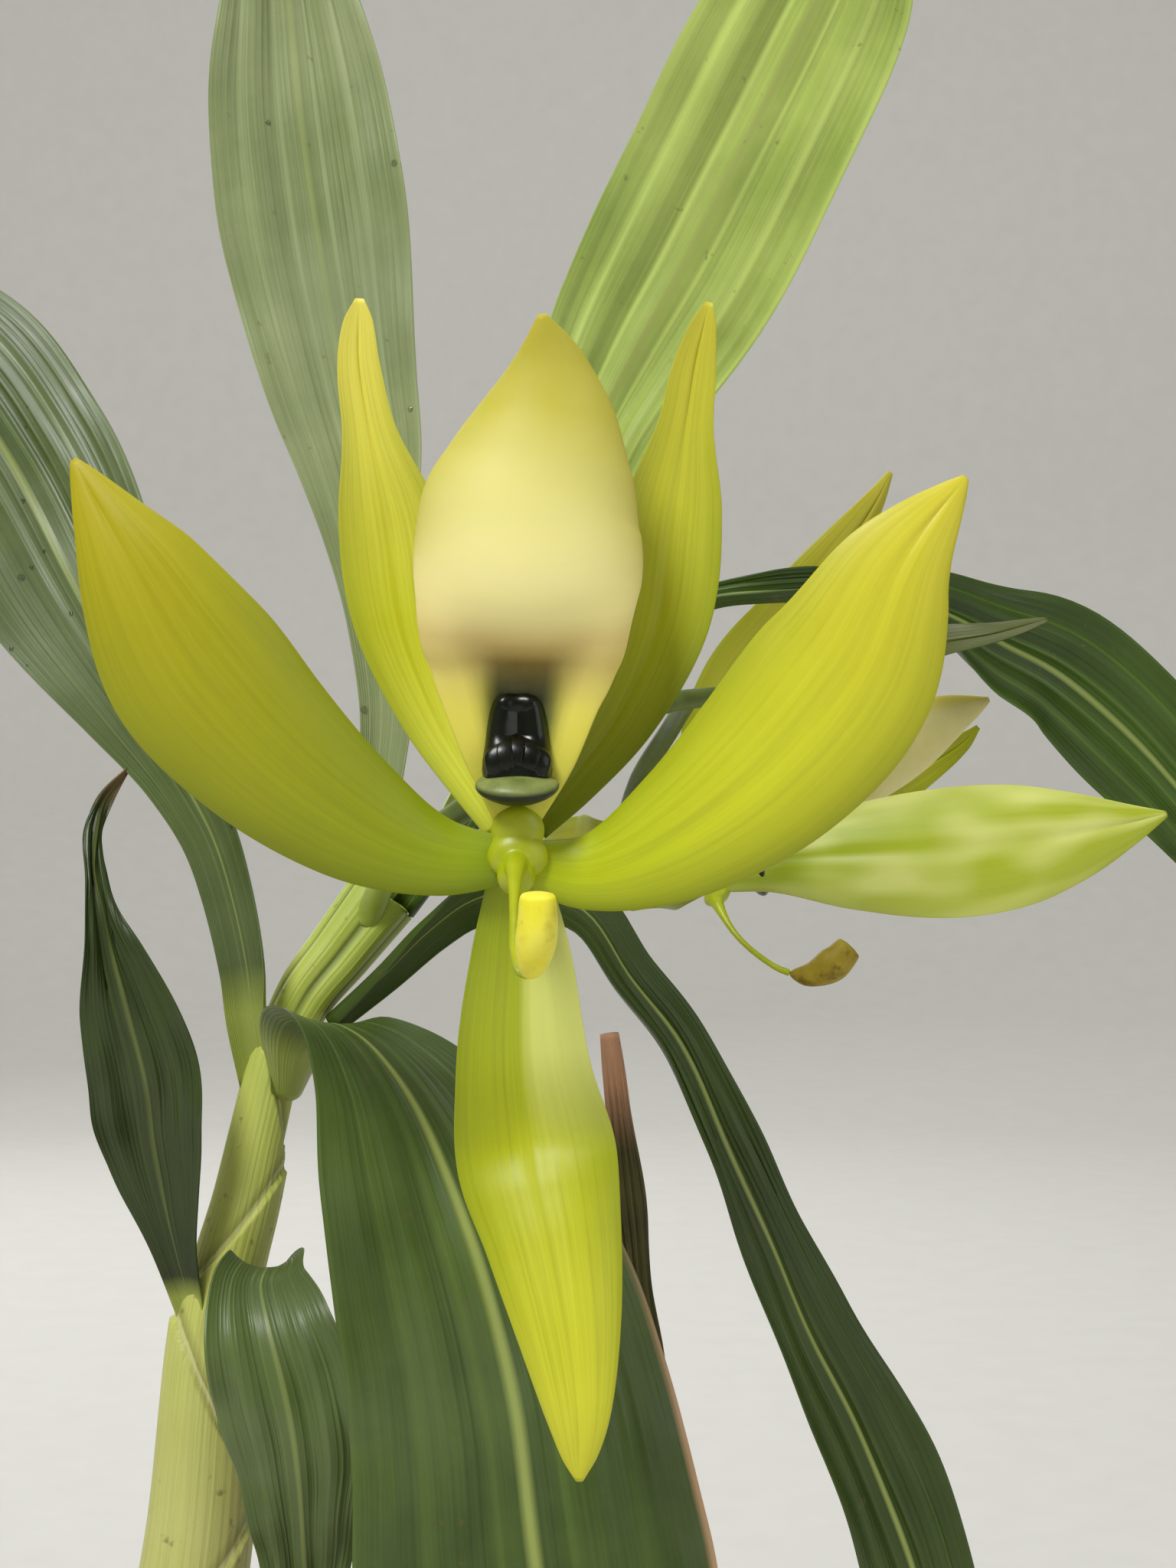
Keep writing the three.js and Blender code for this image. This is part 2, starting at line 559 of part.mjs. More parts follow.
const FRONT_ORGANS = {
  lip: {
    spine: [[0, 3.6, 1.6], [0.5, 12, 2.6], [0.7, 20.3, 3.2], [0.9, 24, 4], [1, 25.8, 6.4], [1.1, 26.6, 9.6],
      [1.3, 28.8, 12.4], [1.6, 34, 13.7], [1.9, 42.7, 12.6], [3.2, 50, 11.2], [4.2, 57, 10], [4.3, 62.5, 9.8],
      [3.5, 68, 11]],
    width: [[0, 3], [0.125, 7.6], [0.237, 10.8], [0.292, 12], [0.335, 12.8], [0.38, 13.4], [0.43, 14.2],
      [0.51, 15.6], [0.6, 15.9], [0.68, 15.2], [0.74, 13.6], [0.84, 9.4], [0.92, 5], [0.96, 2.6], [1, 0.5]],
    curl: [[0, 0.5], [0.2, 0.35], [0.3, 0], [0.42, -0.5], [0.6, -0.75], [0.85, -0.7], [1, -0.4]],
    thickness: 3,
  },
  petal_left: {
    spine: [[-2, -1.5, 1.2], [-9.9, -0.9, 2.2], [-18, 2.4, 5], [-28.8, 10.4, 10], [-39.8, 22.7, 14],
      [-47.7, 36.2, 15], [-55.3, 49.3, 13]],
    width: [[0, 3.4], [0.1, 5.4], [0.25, 8.5], [0.45, 11], [0.62, 11.7], [0.78, 8.6], [0.9, 4.4], [0.97, 1.8],
      [1, 0.5]],
    curl: [[0, -0.5], [0.2, -0.45], [0.6, -0.4], [1, -0.3]],
    thickness: 1.4,
  },
  petal_right: {
    spine: [[2, -2, 1.2], [9, -2.9, 2.2], [16.9, -0.4, 5], [30, 8.8, 10], [41.6, 22.4, 14], [48.5, 36.5, 15],
      [56.7, 47.1, 13]],
    width: [[0, 3.4], [0.1, 5.4], [0.25, 8.8], [0.45, 11.8], [0.62, 12.2], [0.78, 8.8], [0.9, 4.6],
      [0.97, 1.9], [1, 0.5]],
    curl: [[0, -0.5], [0.2, -0.45], [0.6, -0.4], [1, -0.3]],
    thickness: 1.4,
  },
  lateral_sepal_left: {
    spine: [[-2.1, 3, -2.8], [-5.6, 9, -3.4], [-10.7, 18.1, -4.4], [-14.9, 29.3, -5], [-17, 42.6, -6],
      [-19.8, 55.8, -6], [-21.1, 64.8, -5], [-20.8, 72.6, -3]],
    width: [[0, 2.6], [0.12, 4], [0.3, 5.6], [0.5, 7.2], [0.62, 6.6], [0.76, 3.8], [0.88, 3], [0.96, 2.1],
      [1, 0.6]],
    curl: [[0, 0.7], [0.4, 0.3], [0.7, 0.5], [1, 0.6]],
    thickness: 1.2,
  },
  lateral_sepal_right: {
    spine: [[1.9, 3, -2.8], [7, 9, -3.4], [13.6, 18.1, -4.4], [18.4, 29.3, -5], [20.4, 43.6, -6],
      [22.2, 55.8, -6], [23.6, 64.8, -5], [25.3, 72.1, -3]],
    width: [[0, 2.6], [0.12, 4], [0.3, 5.6], [0.5, 7.2], [0.64, 6.6], [0.78, 3.9], [0.88, 3.1], [0.96, 1.8],
      [1, 0.5]],
    curl: [[0, 0.7], [0.4, 0.3], [0.7, 0.5], [1, 0.6]],
    thickness: 1.2,
  },
  dorsal_sepal: {
    spine: [[0.2, -2.1, -2.8], [0.5, -14.3, -4], [0.8, -28.2, -2], [2.5, -40.4, -3], [4.8, -50.8, 1],
      [6.8, -61.9, 5], [8, -72.5, 6], [8.2, -81.4, 4]],
    width: [[0, 4], [0.14, 6.9], [0.33, 9.2], [0.47, 10.6], [0.6, 9.3], [0.75, 7.1], [0.88, 4.6], [0.96, 2.4],
      [1, 0.5]],
    curl: [[0, 0.6], [0.3, 0.5], [0.45, 0.15], [0.6, -0.35], [1, -0.4]],
    thickness: 1.3,
  },
};

// The second flower is half open. It looks to the right, so all but one of its organs sweep that way.
const RIGHT_ORGANS = {
  lip: {
    spine: [[3, 2.4, -2.4], [9, 8.2, -3.6], [15, 13, -5], [19.5, 13.8, -5], [24.5, 15, -5], [30, 18, -6],
      [36.5, 22, -7], [42, 25.4, -8], [46.5, 27.8, -8.5]],
    facing: [0.3, -0.4, 0.87],
    width: [[0, 2.4], [0.1, 3.6], [0.24, 4.4], [0.38, 6.4], [0.5, 8], [0.62, 8.6], [0.74, 7.6], [0.85, 5],
      [0.94, 2.4], [1, 0.5]],
    curl: [[0, 0.5], [0.2, 0.35], [0.38, -0.5], [0.6, -0.75], [0.85, -0.7], [1, -0.4]],
    thickness: 2.4,
  },
  petal_left: {
    spine: [[0, 1.8, 0.8], [1.2, 16, 2], [6, 28.4, 3], [12.8, 38, 4], [20, 49, 5], [26, 58.2, 6],
      [28.7, 63.1, 6]],
    facing: [0.5, 0, 0.85],
    width: [[0, 2.8], [0.12, 5], [0.3, 7.6], [0.5, 8], [0.66, 6.4], [0.8, 4.2], [0.92, 2.2], [1, 0.5]],
    curl: [[0, -0.4], [0.5, -0.4], [1, -0.3]],
    thickness: 1.3,
  },
  petal_right: {
    spine: [[1.5, -0.6, 1.2], [10.4, 1.8, 4], [23.7, 3, 8], [39, 3.8, 10], [53.6, 5.7, 10], [64.6, 7.6, 8],
      [72.2, 9.3, 6]],
    facing: [0, 0.25, 1],
    width: [[0, 2.8], [0.12, 5], [0.3, 8.6], [0.5, 10.6], [0.66, 10], [0.8, 7], [0.92, 3.2], [1, 0.5]],
    curl: [[0, -0.5], [0.5, -0.35], [1, -0.3]],
    thickness: 1.3,
  },
  lateral_sepal_left: {
    spine: [[0.6, 2.9, -2.6], [7.5, 16.5, -5], [19, 29.3, 4], [33, 35, 15], [43, 36.8, 18], [51.6, 39.2, 17]],
    facing: [-0.3, 0.6, 0.7],
    width: [[0, 2.2], [0.2, 4], [0.45, 5.4], [0.62, 5], [0.8, 3], [0.93, 1.8], [1, 0.5]],
    curl: [[0, 0.6], [0.5, 0.3], [1, 0.5]],
    thickness: 1.1,
  },
  lateral_sepal_right: {
    spine: [[1.4, 1.6, -4], [13, 7.4, -11], [26, 12.5, -16], [36.5, 16.6, -19], [43, 20.5, -19.5],
      [46.3, 23.6, -19]],
    facing: [0.1, -0.4, 0.9],
    width: [[0, 2.2], [0.2, 4.4], [0.45, 6.2], [0.62, 5.6], [0.8, 3.2], [0.93, 1.8], [1, 0.5]],
    curl: [[0, 0.5], [0.5, 0.3], [1, 0.5]],
    thickness: 1.1,
  },
  dorsal_sepal: {
    spine: [[-0.5, -1, -3], [-6, -1.5, -10], [-14, -0.5, -20], [-22, 0.5, -30], [-29, 0, -41],
      [-34, -3, -51]],
    facing: [0.8, 0, 0.6],
    width: [[0, 3], [0.15, 5.5], [0.4, 8.2], [0.6, 8], [0.8, 5.4], [0.93, 2.6], [1, 0.5]],
    curl: [[0, 0.6], [0.4, 0.4], [1, 0.3]],
    thickness: 1.2,
  },
};

function organ(name, shape, grow = 0) {
  const facing = shape.facing ?? [0, 0, 1];
  const isLip = name === 'lip';
  return solidOf(blade({
    spine: shape.spine,
    facing: [[0, facing], [1, facing]],
    width: profile(shape.width),
    curl: profile(shape.curl),
    thickness: (t, u) => shape.thickness * (1 - 0.45 * u * u) * (1 - 0.35 * t),
    stations: isLip ? 15 : 12,
    columns: 6,
    grow,
  }));
}

function turnedSphere(radii, centre, tilt) {
  const geometry = new THREE.SphereGeometry(1, 10, 6);
  geometry.scale(radii[0], radii[1], radii[2]);
  geometry.rotateX(tilt);
  geometry.translate(centre[0], centre[1], centre[2]);
  return solidOf(geometry);
}

function framed(solid, y, z, size, origin) {
  const out = vector(z).normalize();
  const right = new THREE.Vector3().crossVectors(vector(y), out).normalize();
  const up = new THREE.Vector3().crossVectors(out, right);
  const frame = new THREE.Matrix4().makeBasis(right, up, out);
  frame.scale(new THREE.Vector3(size, size, size));
  frame.setPosition(vector(origin));
  return solid.transform(frame.elements);
}

// The black callus: a glossy knob over a lens-shaped ledge, seated on the lip
function makeCallus(flower, clear) {
  const knob = turnedSphere([4.5, 6, 3.4], [0.3, 14.4, 4.8], -0.2);
  const ledge = turnedSphere([5.5, 2, 4.4], [0.2, 8.1, 5.4], 0.5);
  const callus = framed(knob.add(ledge), flower.callusAlong, flower.callusOut, flower.size, [0, 0, 0]);
  return largestBody(callus.subtract(clear));
}

// The column's swollen base stands on the hub's front
function shoulder(grow) {
  return turnedSphere([3.3 + grow, 5 + grow, 2.6 + grow], [0, 0.2, 3], 0.1);
}

function hub(grow) {
  const length = HUB_BACK + HUB_FRONT + 2 * grow;
  const cylinder = new THREE.CylinderGeometry(HUB_RADIUS + grow, HUB_RADIUS - HUB_TAPER + grow, length, 12);
  cylinder.rotateX(Math.PI / 2);
  cylinder.translate(0, 0, (HUB_FRONT - HUB_BACK) / 2);
  return solidOf(cylinder).add(shoulder(grow));
}

function hubInPlace(flower, grow) {
  return framed(hub(grow), flower.hubUp, flower.hubOut, flower.size, [0, 0, 0]);
}

// The column dips from the hub like a swan's neck and turns up at its end
const NECK_RADIUS = profile([[0, 2.6], [0.22, 1.6], [0.45, 0.8], [0.8, 0.65], [1, 0.7]]);

function neck(flower, grow) {
  return solidOf(stem({
    path: flower.neck, sides: 6, steps: 12, across: vector(flower.neckAcross),
    radius: (t) => flower.size * NECK_RADIUS(t) + grow,
  }));
}

// The anther cap: a pointed yellow helmet on the column's end
const CAP_RADIUS = profile([[0, 0.7], [0.22, 1.8], [0.5, 2.6], [0.85, 2.2], [1, 1.5]]);

function makeCap(flower) {
  const cap = stem({
    path: flower.cap, sides: 8, steps: 7, across: vector(flower.neckAcross),
    radius: (t) => flower.size * CAP_RADIUS(t),
  });
  return largestBody(solidOf(cap).subtract(neck(flower, GAP)));
}

function addFlower(flower) {
  let taken = hubInPlace(flower, GAP).add(neck(flower, GAP));
  const settle = (solid) => framed(solid, [0, 0, 1], [0, -1, 0], 1, flower.centre);
  for (const [name, shape] of Object.entries(flower.organs)) {
    const finish = name === 'lip' ? LIP : TEPAL;
    place(`${flower.name}_${name}`, settle(largestBody(organ(name, shape).subtract(taken))), finish);
    taken = taken.add(organ(name, shape, 2 * GAP));
  }
  place(`${flower.name}_callus`, settle(makeCallus(flower, taken)), CALLUS);
  place(`${flower.name}_column`, settle(hubInPlace(flower, 0).add(neck(flower, 0))), COLUMN);
  place(`${flower.name}_anther_cap`, settle(makeCap(flower)), CAP);
}

const FLOWERS = [
  {
    name: 'front_flower',
    centre: [25.7, -60, 300.4],
    size: 1,
    organs: FRONT_ORGANS,
    hubOut: [0, 0, 1],
    hubUp: [0, 1, 0],
    neck: [[0, -0.5, 0], [0, -2.4, 6], [0, -7, 13], [0.2, -11.6, 19], [1, -14, 24],
      [2.1, -14.2, 27.2]],
    neckAcross: [1, 0, 0],
    cap: [[2.2, -14.4, 27], [2.8, -12, 29.8], [3.3, -8.6, 31.6], [3.4, -4.2, 32.4]],
    callusAlong: [0, 1, 0],
    callusOut: [0, 0, 1],
    stalk: [[10.5, -15, 300.5], [13, -27, 297], [20, -42, 297]],
  },
  {
    name: 'right_flower',
    centre: [54, 14, 295],
    size: 0.85,
    organs: RIGHT_ORGANS,
    hubOut: [0.825, -0.36, 0.43],
    hubUp: [0, 1, 0],
    neck: [[0.4, -0.6, 0.4], [1.5, -4.8, 2], [4.8, -10.3, 6], [10.2, -14.6, 8], [12.6, -15.6, 8.6]],
    neckAcross: [0, 0, 1],
    cap: [[12.6, -15.7, 8.6], [15.8, -15.8, 9], [19.4, -14, 9.5], [22, -11.3, 9.5]],
    callusAlong: [0.75, 0.65, -0.25],
    callusOut: [0.5, -0.75, 0.3],
    stalk: [[50, -15, 321.6], [48, 0, 318], [43, 12, 309], [42, 18, 302.5]],
  },
];

const caneClear = makeCane(GAP);
const bulbClear = makeOldBulb(GAP);
place('pot', makePot(), CLAY);
place('potting_bark', makeBark([caneClear, bulbClear]), BARK);
place('leafy_cane', makeCane(0), CANE);
place('old_bulb', makeOldBulb(0), OLD_BULB);
place('dry_sheath', makeDrySheath(bulbClear), PAPER);
let leafClear = caneClear;
for (const leaf of LEAVES) {
  place(leaf.name, largestBody(leafBlade(leaf).subtract(leafClear)), LEAF);
  leafClear = leafClear.add(leafBlade(leaf, 2 * GAP));
}
place('flower_stalk', makeStalk(caneClear, FLOWERS), STALK);
for (const flower of FLOWERS) addFlower(flower);

export default part;
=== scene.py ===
# %% [markdown]
# # A potted swan orchid
# The plant is a leafy cane in a clay pot of bark, with one old bare bulb beside it. An arching
# stalk carries two green flowers whose cream lip stands uppermost over a black callus. Every
# piece here keeps the form and the place of the solid it stands for, and gets finer folds,
# veins and a real surface.

# %% The frame
import math

import bmesh
import bpy
import numpy as np
from mathutils import Matrix, Vector


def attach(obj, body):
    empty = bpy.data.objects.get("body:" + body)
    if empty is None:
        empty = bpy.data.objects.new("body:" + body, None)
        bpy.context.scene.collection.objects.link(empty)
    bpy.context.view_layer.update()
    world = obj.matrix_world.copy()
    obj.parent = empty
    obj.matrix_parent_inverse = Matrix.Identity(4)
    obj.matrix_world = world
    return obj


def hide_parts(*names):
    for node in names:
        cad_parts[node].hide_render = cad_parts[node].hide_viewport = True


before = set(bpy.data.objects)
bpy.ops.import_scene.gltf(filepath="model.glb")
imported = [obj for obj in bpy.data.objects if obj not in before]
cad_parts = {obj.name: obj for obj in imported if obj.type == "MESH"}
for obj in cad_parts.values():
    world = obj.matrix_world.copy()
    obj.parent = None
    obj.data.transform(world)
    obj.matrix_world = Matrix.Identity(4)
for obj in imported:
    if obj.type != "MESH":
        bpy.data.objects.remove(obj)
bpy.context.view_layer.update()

MM = 0.001
print("nodes in the frame:", len(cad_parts))

# %% [markdown]
# ## The camera
# The photo is a close view, level with the flowers and straight on. A real photographer's
# short telephoto lens could stand further off, but then the near flower would not loom over
# the leaves as it does. So the camera stands 33 cm in front of the near flower, and the lens
# is chosen so that this flower fills three quarters of the frame's width.

# %% The camera
CAMERA_PLACE = (35, -390, 309)
FLOWER_DISTANCE = 330
FRAME_HEIGHT_AT_FLOWER = 204.8
SENSOR = 36


def placed(name, data):
    """A new object that holds the data, linked to the scene."""
    thing = bpy.data.objects.new(name, data)
    bpy.context.collection.objects.link(thing)
    return thing


def make_camera():
    camera = placed("camera", bpy.data.cameras.new("camera"))
    camera.location = [v * MM for v in CAMERA_PLACE]
    camera.rotation_euler = (math.radians(90), 0, 0)
    camera.data.sensor_width = SENSOR
    camera.data.lens = SENSOR * FLOWER_DISTANCE / FRAME_HEIGHT_AT_FLOWER
    camera.data.clip_start = 0.01
    bpy.context.scene.camera = camera
    return camera


camera = make_camera()
print("lens in mm:", round(camera.data.lens, 1))

# %% [markdown]
# ## Curves and profiles
# A leaf's midline, a stalk and a bulb all follow a curve through a few chosen points, and
# their widths change smoothly along it. A Bezier curve needs two handles at each point, but a
# centripetal curve needs the points alone and never overshoots between them.

# %% Curves and profiles
def unit(vectors):
    return vectors / np.maximum(np.linalg.norm(vectors, axis=-1, keepdims=True), 1e-12)


def through(points, count):
    """Evenly spaced places on a smooth curve through the points, and the directions there."""
    p = np.array(points, float)
    p = np.vstack([2 * p[0] - p[1], p, 2 * p[-1] - p[-2]])
    pieces = []
    s = np.linspace(0, 1, 120, endpoint=False)[:, None]
    for a, b, c, d in zip(p, p[1:], p[2:], p[3:]):
        before, here, after = (np.sqrt(np.linalg.norm(v)) for v in (b - a, c - b, d - c))
        start = ((b - a) / before - (c - a) / (before + here) + (c - b) / here) * here
        end = ((c - b) / here - (d - b) / (here + after) + (d - c) / after) * here
        square = 3 * (c - b) - 2 * start - end
        cube = 2 * (b - c) + start + end
        pieces.append(b + s * start + s**2 * square + s**3 * cube)
    dense = np.vstack(pieces + [p[-2:-1]])
    run = np.r_[0, np.cumsum(np.linalg.norm(np.diff(dense, axis=0), axis=1))]
    places = np.linspace(0, run[-1], count)
    spots = np.stack([np.interp(places, run, dense[:, k]) for k in range(3)], axis=1)
    return spots, unit(np.gradient(spots, axis=0))


def profile(pairs):
    """A smooth function through [place, value] pairs."""
    places, values = (np.array(column, float) for column in zip(*pairs))
    before, after = np.r_[0, :len(pairs) - 1], np.r_[1:len(pairs), len(pairs) - 1]
    slopes = (values[after] - values[before]) / (places[after] - places[before])

    def at(t):
        i = np.clip(np.searchsorted(places, t, side="left") - 1, 0, len(places) - 2)
        span = places[i + 1] - places[i]
        s = np.clip((t - places[i]) / span, 0, 1)
        ease = s * s * (3 - 2 * s)
        bend = s * (1 - s) * span * ((1 - s) * slopes[i] - s * slopes[i + 1])
        return values[i] + (values[i + 1] - values[i]) * ease + bend

    return at


def smoothstep(t, low, high):
    s = np.clip((t - low) / (high - low), 0, 1)
    return s * s * (3 - 2 * s)


# %% [markdown]
# ## Meshes from grids
# Most of the plant is a grid of points in disguise: a blade is a grid along and across, and a
# stem is a grid along and round. A small maker turns a grid into a mesh and keeps two numbers
# for every point in a UV map, the place across and the place along. The veins and the colours
# follow these numbers, so they run with the leaf however it bends.

# %% Meshes from grids
def mesh_object(name, points, faces, finish, across=0, along=0, smooth=True):
    """A mesh object in millimetres, with its places across and along in a UV map."""
    mesh = bpy.data.meshes.new(name)
    mesh.from_pydata((np.asarray(points) * MM).tolist(), [], [list(map(int, f)) for f in faces])
    corners = np.empty(len(mesh.loops), int)
    mesh.loops.foreach_get("vertex_index", corners)
    places = [np.broadcast_to(np.ravel(v), len(points))[corners] for v in (across, along)]
    mesh.uv_layers.new(name="growth").data.foreach_set("uv", np.stack(places, axis=1).ravel())
    mesh.polygons.foreach_set("use_smooth", [smooth] * len(mesh.polygons))
    mesh.materials.append(finish)
    mesh.update()
    return placed(name, mesh)


def grid_faces(rows, columns, first=0, wrap=False, flip=False):
    """Quads over a grid of points that is stored row by row."""
    faces = []
    for i in range(rows - 1):
        for j in range(columns if wrap else columns - 1):
            a = first + i * columns + j
            b = first + i * columns + (j + 1) % columns
            quad = (a, b, b + columns, a + columns)
            faces.append(quad[::-1] if flip else quad)
    return faces


def circle(radius, height, count):
    """Evenly spaced points round the upright axis."""
    angles = [2 * math.pi * k / count for k in range(count)]
    return [(radius * math.cos(a), radius * math.sin(a), height) for a in angles]


def shell(name, middle, depth, across, along, finish):
    """A thin closed skin: a grid of points, moved both ways along its normals by depth."""
    rows, columns = middle.shape[:2]
    count = rows * columns
    normal = unit(np.cross(np.gradient(middle, axis=1), np.gradient(middle, axis=0)))
    sides = [(middle + way * normal * depth).reshape(-1, 3) for way in (1, -1)]
    faces = grid_faces(rows, columns) + grid_faces(rows, columns, count, flip=True)
    rim = list(range(columns)) + [i * columns + columns - 1 for i in range(1, rows)]
    rim += [(rows - 1) * columns + j for j in range(columns - 2, -1, -1)]
    rim += [i * columns for i in range(rows - 2, 0, -1)]
    faces += [(a, a + count, b + count, b) for a, b in zip(rim, rim[1:] + rim[:1])]
    places = [np.tile(np.broadcast_to(v, (rows, columns)).ravel(), 2) for v in (across, along)]
    return mesh_object(name, np.concatenate(sides), faces, finish, *places)


def settle(thing, node):
    """The piece rides on the plant and stands for its node, whose solid is hidden."""
    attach(thing, "root")
    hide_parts(node)
    return thing


def joined(name, things):
    """One object from several, which keeps their finishes."""
    bpy.ops.object.select_all(action="DESELECT")
    for thing in things:
        thing.select_set(True)
    bpy.context.view_layer.objects.active = things[0]
    bpy.ops.object.join()
    things[0].name = name
    return things[0]


def outward(thing):
    """Turns every face of a closed mesh to look outwards."""
    bm = bmesh.new()
    bm.from_mesh(thing.data)
    bmesh.ops.recalc_face_normals(bm, faces=bm.faces)
    bm.to_mesh(thing.data)
    bm.free()
    return thing


def plain_mesh(thing, name):
    """The evaluated mesh of an object, as a new object without modifiers."""
    graph = bpy.context.evaluated_depsgraph_get()
    mesh = bpy.data.meshes.new_from_object(thing.evaluated_get(graph))
    bpy.data.objects.remove(thing)
    mesh.name = name
    return placed(name, mesh)


def triangles(thing):
    return sum(len(face.vertices) - 2 for face in thing.data.polygons)


# %% [markdown]
# ## Shader helpers
# Each finish is a short chain of nodes. Writing every node by hand takes four lines, so a few
# helpers add a node, set its sockets and return what it puts out. Colours are picked as they
# look on a screen, and turned into the linear values that the renderer reckons with.

# %% Shader helpers
def linear(colour):
    """The linear colour of a screen colour given in 0 to 255. A socket is passed on as it is."""
    if isinstance(colour, bpy.types.NodeSocket):
        return colour
    parts = [v / 255 for v in colour]
    return tuple(v / 12.92 if v <= 0.04045 else ((v + 0.055) / 1.055) ** 2.4 for v in parts) + (1,)


class Tree:
    """A node tree with short ways to add the nodes that this scene uses."""

    def __init__(self, tree):
        self.tree = tree

    def node(self, kind, inputs=(), **settings):
        made = self.tree.nodes.new(kind)
        for name, value in settings.items():
            setattr(made, name, value)
        for name, value in dict(inputs).items():
            socket = made.inputs[name]
            if isinstance(value, bpy.types.NodeSocket):
                self.tree.links.new(value, socket)
            else:
                socket.default_value = value
        return made

    def first(self, kind, inputs=(), **settings):
        """The first output of a new node."""
        return self.node(kind, inputs, **settings).outputs[0]

    def math(self, operation, *values):
        return self.first("ShaderNodeMath", enumerate(values), operation=operation)

    def times(self, a, b):
        return self.math("MULTIPLY", a, b)

    def plus(self, a, b):
        return self.math("ADD", a, b)

    def minus(self, a, b):
        return self.math("SUBTRACT", a, b)

    def mix(self, amount, low, high):
        """A blend of two colours, each a socket or a screen colour."""
        inputs = {0: amount, 6: linear(low), 7: linear(high)}
        return self.node("ShaderNodeMix", inputs, data_type="RGBA").outputs[2]

    def ramp(self, value, *stops):
        made = self.node("ShaderNodeValToRGB", {0: value})
        elements = made.color_ramp.elements
        while len(elements) < len(stops):
            elements.new(0.5)
        for element, (place, colour) in zip(elements, stops):
            element.position = place
            element.color = linear(colour)
        return made.outputs[0]

    def level(self, value, low, high, to_low=0.0, to_high=1.0):
        inputs = {0: value, 1: low, 2: high, 3: to_low, 4: to_high}
        return self.first("ShaderNodeMapRange", inputs, clamp=True)

    def fall(self, value, low, high, start=1.0):
        """From start down to nothing, as the value goes from low to high."""
        return self.level(value, low, high, start, 0.0)

    def between(self, value, low, high):
        """A value of 0 to 1, spread from low to high."""
        return self.level(value, 0, 1, low, high)

    def band(self, value, start, full, fading, gone, top=1.0):
        """Rises between start and full, and falls from top between fading and gone."""
        return self.times(self.level(value, start, full), self.fall(value, fading, gone, top))

    def growth(self):
        """The places across and along, from the growth UV map."""
        uv = self.first("ShaderNodeUVMap", uv_map="growth")
        split = self.node("ShaderNodeSeparateXYZ", {0: uv})
        return split.outputs[0], split.outputs[1]

    def stretched(self, *factors):
        """The growth places, each multiplied by a factor, as a vector for a noise."""
        across, along = self.growth()
        inputs = {0: self.times(across, factors[0]), 1: self.times(along, factors[1])}
        return self.first("ShaderNodeCombineXYZ", inputs)

    def place(self):
        return self.node("ShaderNodeTexCoord").outputs["Object"]

    def noise(self, vector, scale, detail=3.0, roughness=0.55):
        inputs = {"Vector": vector, "Scale": scale, "Detail": detail, "Roughness": roughness}
        return self.node("ShaderNodeTexNoise", inputs).outputs["Fac"]

    def group(self, tree, **inputs):
        return self.first("ShaderNodeGroup", inputs, node_tree=tree)

    def bump(self, height, strength, distance_mm, normal=None):
        inputs = {"Height": height, "Strength": strength, "Distance": distance_mm * MM}
        if normal is not None:
            inputs["Normal"] = normal
        return self.first("ShaderNodeBump", inputs)


def shader_group(name, build, **inputs):
    """A shared effect: a node group with named number inputs and one output."""
    tree = bpy.data.node_groups.new(name, "ShaderNodeTree")
    for label, value in inputs.items():
        socket = tree.interface.new_socket(label, in_out="INPUT", socket_type="NodeSocketFloat")
        socket.default_value = value
    tree.interface.new_socket("Value", in_out="OUTPUT", socket_type="NodeSocketFloat")
    result = build(Tree(tree), tree.nodes.new("NodeGroupInput").outputs)
    tree.links.new(result, tree.nodes.new("NodeGroupOutput").inputs[0])
    return tree


def skin(colour, roughness, normal):
    """What a finish links to its shader."""
    return {"Base Color": colour, "Roughness": roughness, "Normal": normal}


def finish_material(name, build, **plain):
    """A material: build returns the linked sockets, and plain holds the uniform values."""
    material = bpy.data.materials.new(name)
    material.use_nodes = True
    material.node_tree.nodes.clear()
    made = Tree(material.node_tree)
    uniform = {label.replace("_", " "): value for label, value in plain.items()}
    shader = made.node("ShaderNodeBsdfPrincipled", uniform)
    for label, socket in build(made).items():
        material.node_tree.links.new(socket, shader.inputs[label])
    made.node("ShaderNodeOutputMaterial", {"Surface": shader.outputs[0]})
    return material


# %% [markdown]
# ## Shared effects
# Leaves, sheaths, petals and bulbs all carry long veins, and all are a little uneven in
# colour. Both effects are built once as node groups with named inputs, so each finish says
# only how many veins it has and how strong they are. The veins are waves across the blade
# that a slow noise pushes aside, because ruled lines would look printed.

# %% Shared effects
def build_veins(t, inputs):
    across, _ = t.growth()
    drift = t.noise(t.stretched(3, 1.2), 1.6, detail=1.0)
    pushed = t.plus(across, t.times(drift, 0.03))
    turn = t.times(t.times(pushed, inputs["Count"]), 2 * math.pi)
    wave = t.plus(t.times(t.math("COSINE", turn), 0.5), 0.5)
    line = t.math("POWER", wave, inputs["Sharpness"])
    fade = t.noise(t.stretched(14, 2.5), 1.0, detail=2.0)
    strength = t.level(fade, 0.3, 0.62, 0.35, 1.0)
    return t.times(line, strength)


def build_streaks(t, inputs):
    return t.noise(t.stretched(inputs["Count"], inputs["Length"]), 1.0, detail=4.0, roughness=0.6)


def build_mottle(t, inputs):
    return t.level(t.noise(t.place(), inputs["Scale"], inputs["Detail"], 0.6), 0.3, 0.7)


def build_margin(t, inputs):
    """Nothing at the midrib and 1 at the margin, reached later the sharper it is."""
    across, _ = t.growth()
    out = t.math("ABSOLUTE", t.minus(t.times(across, 2.0), 1.0))
    return t.math("POWER", out, inputs["Sharpness"])


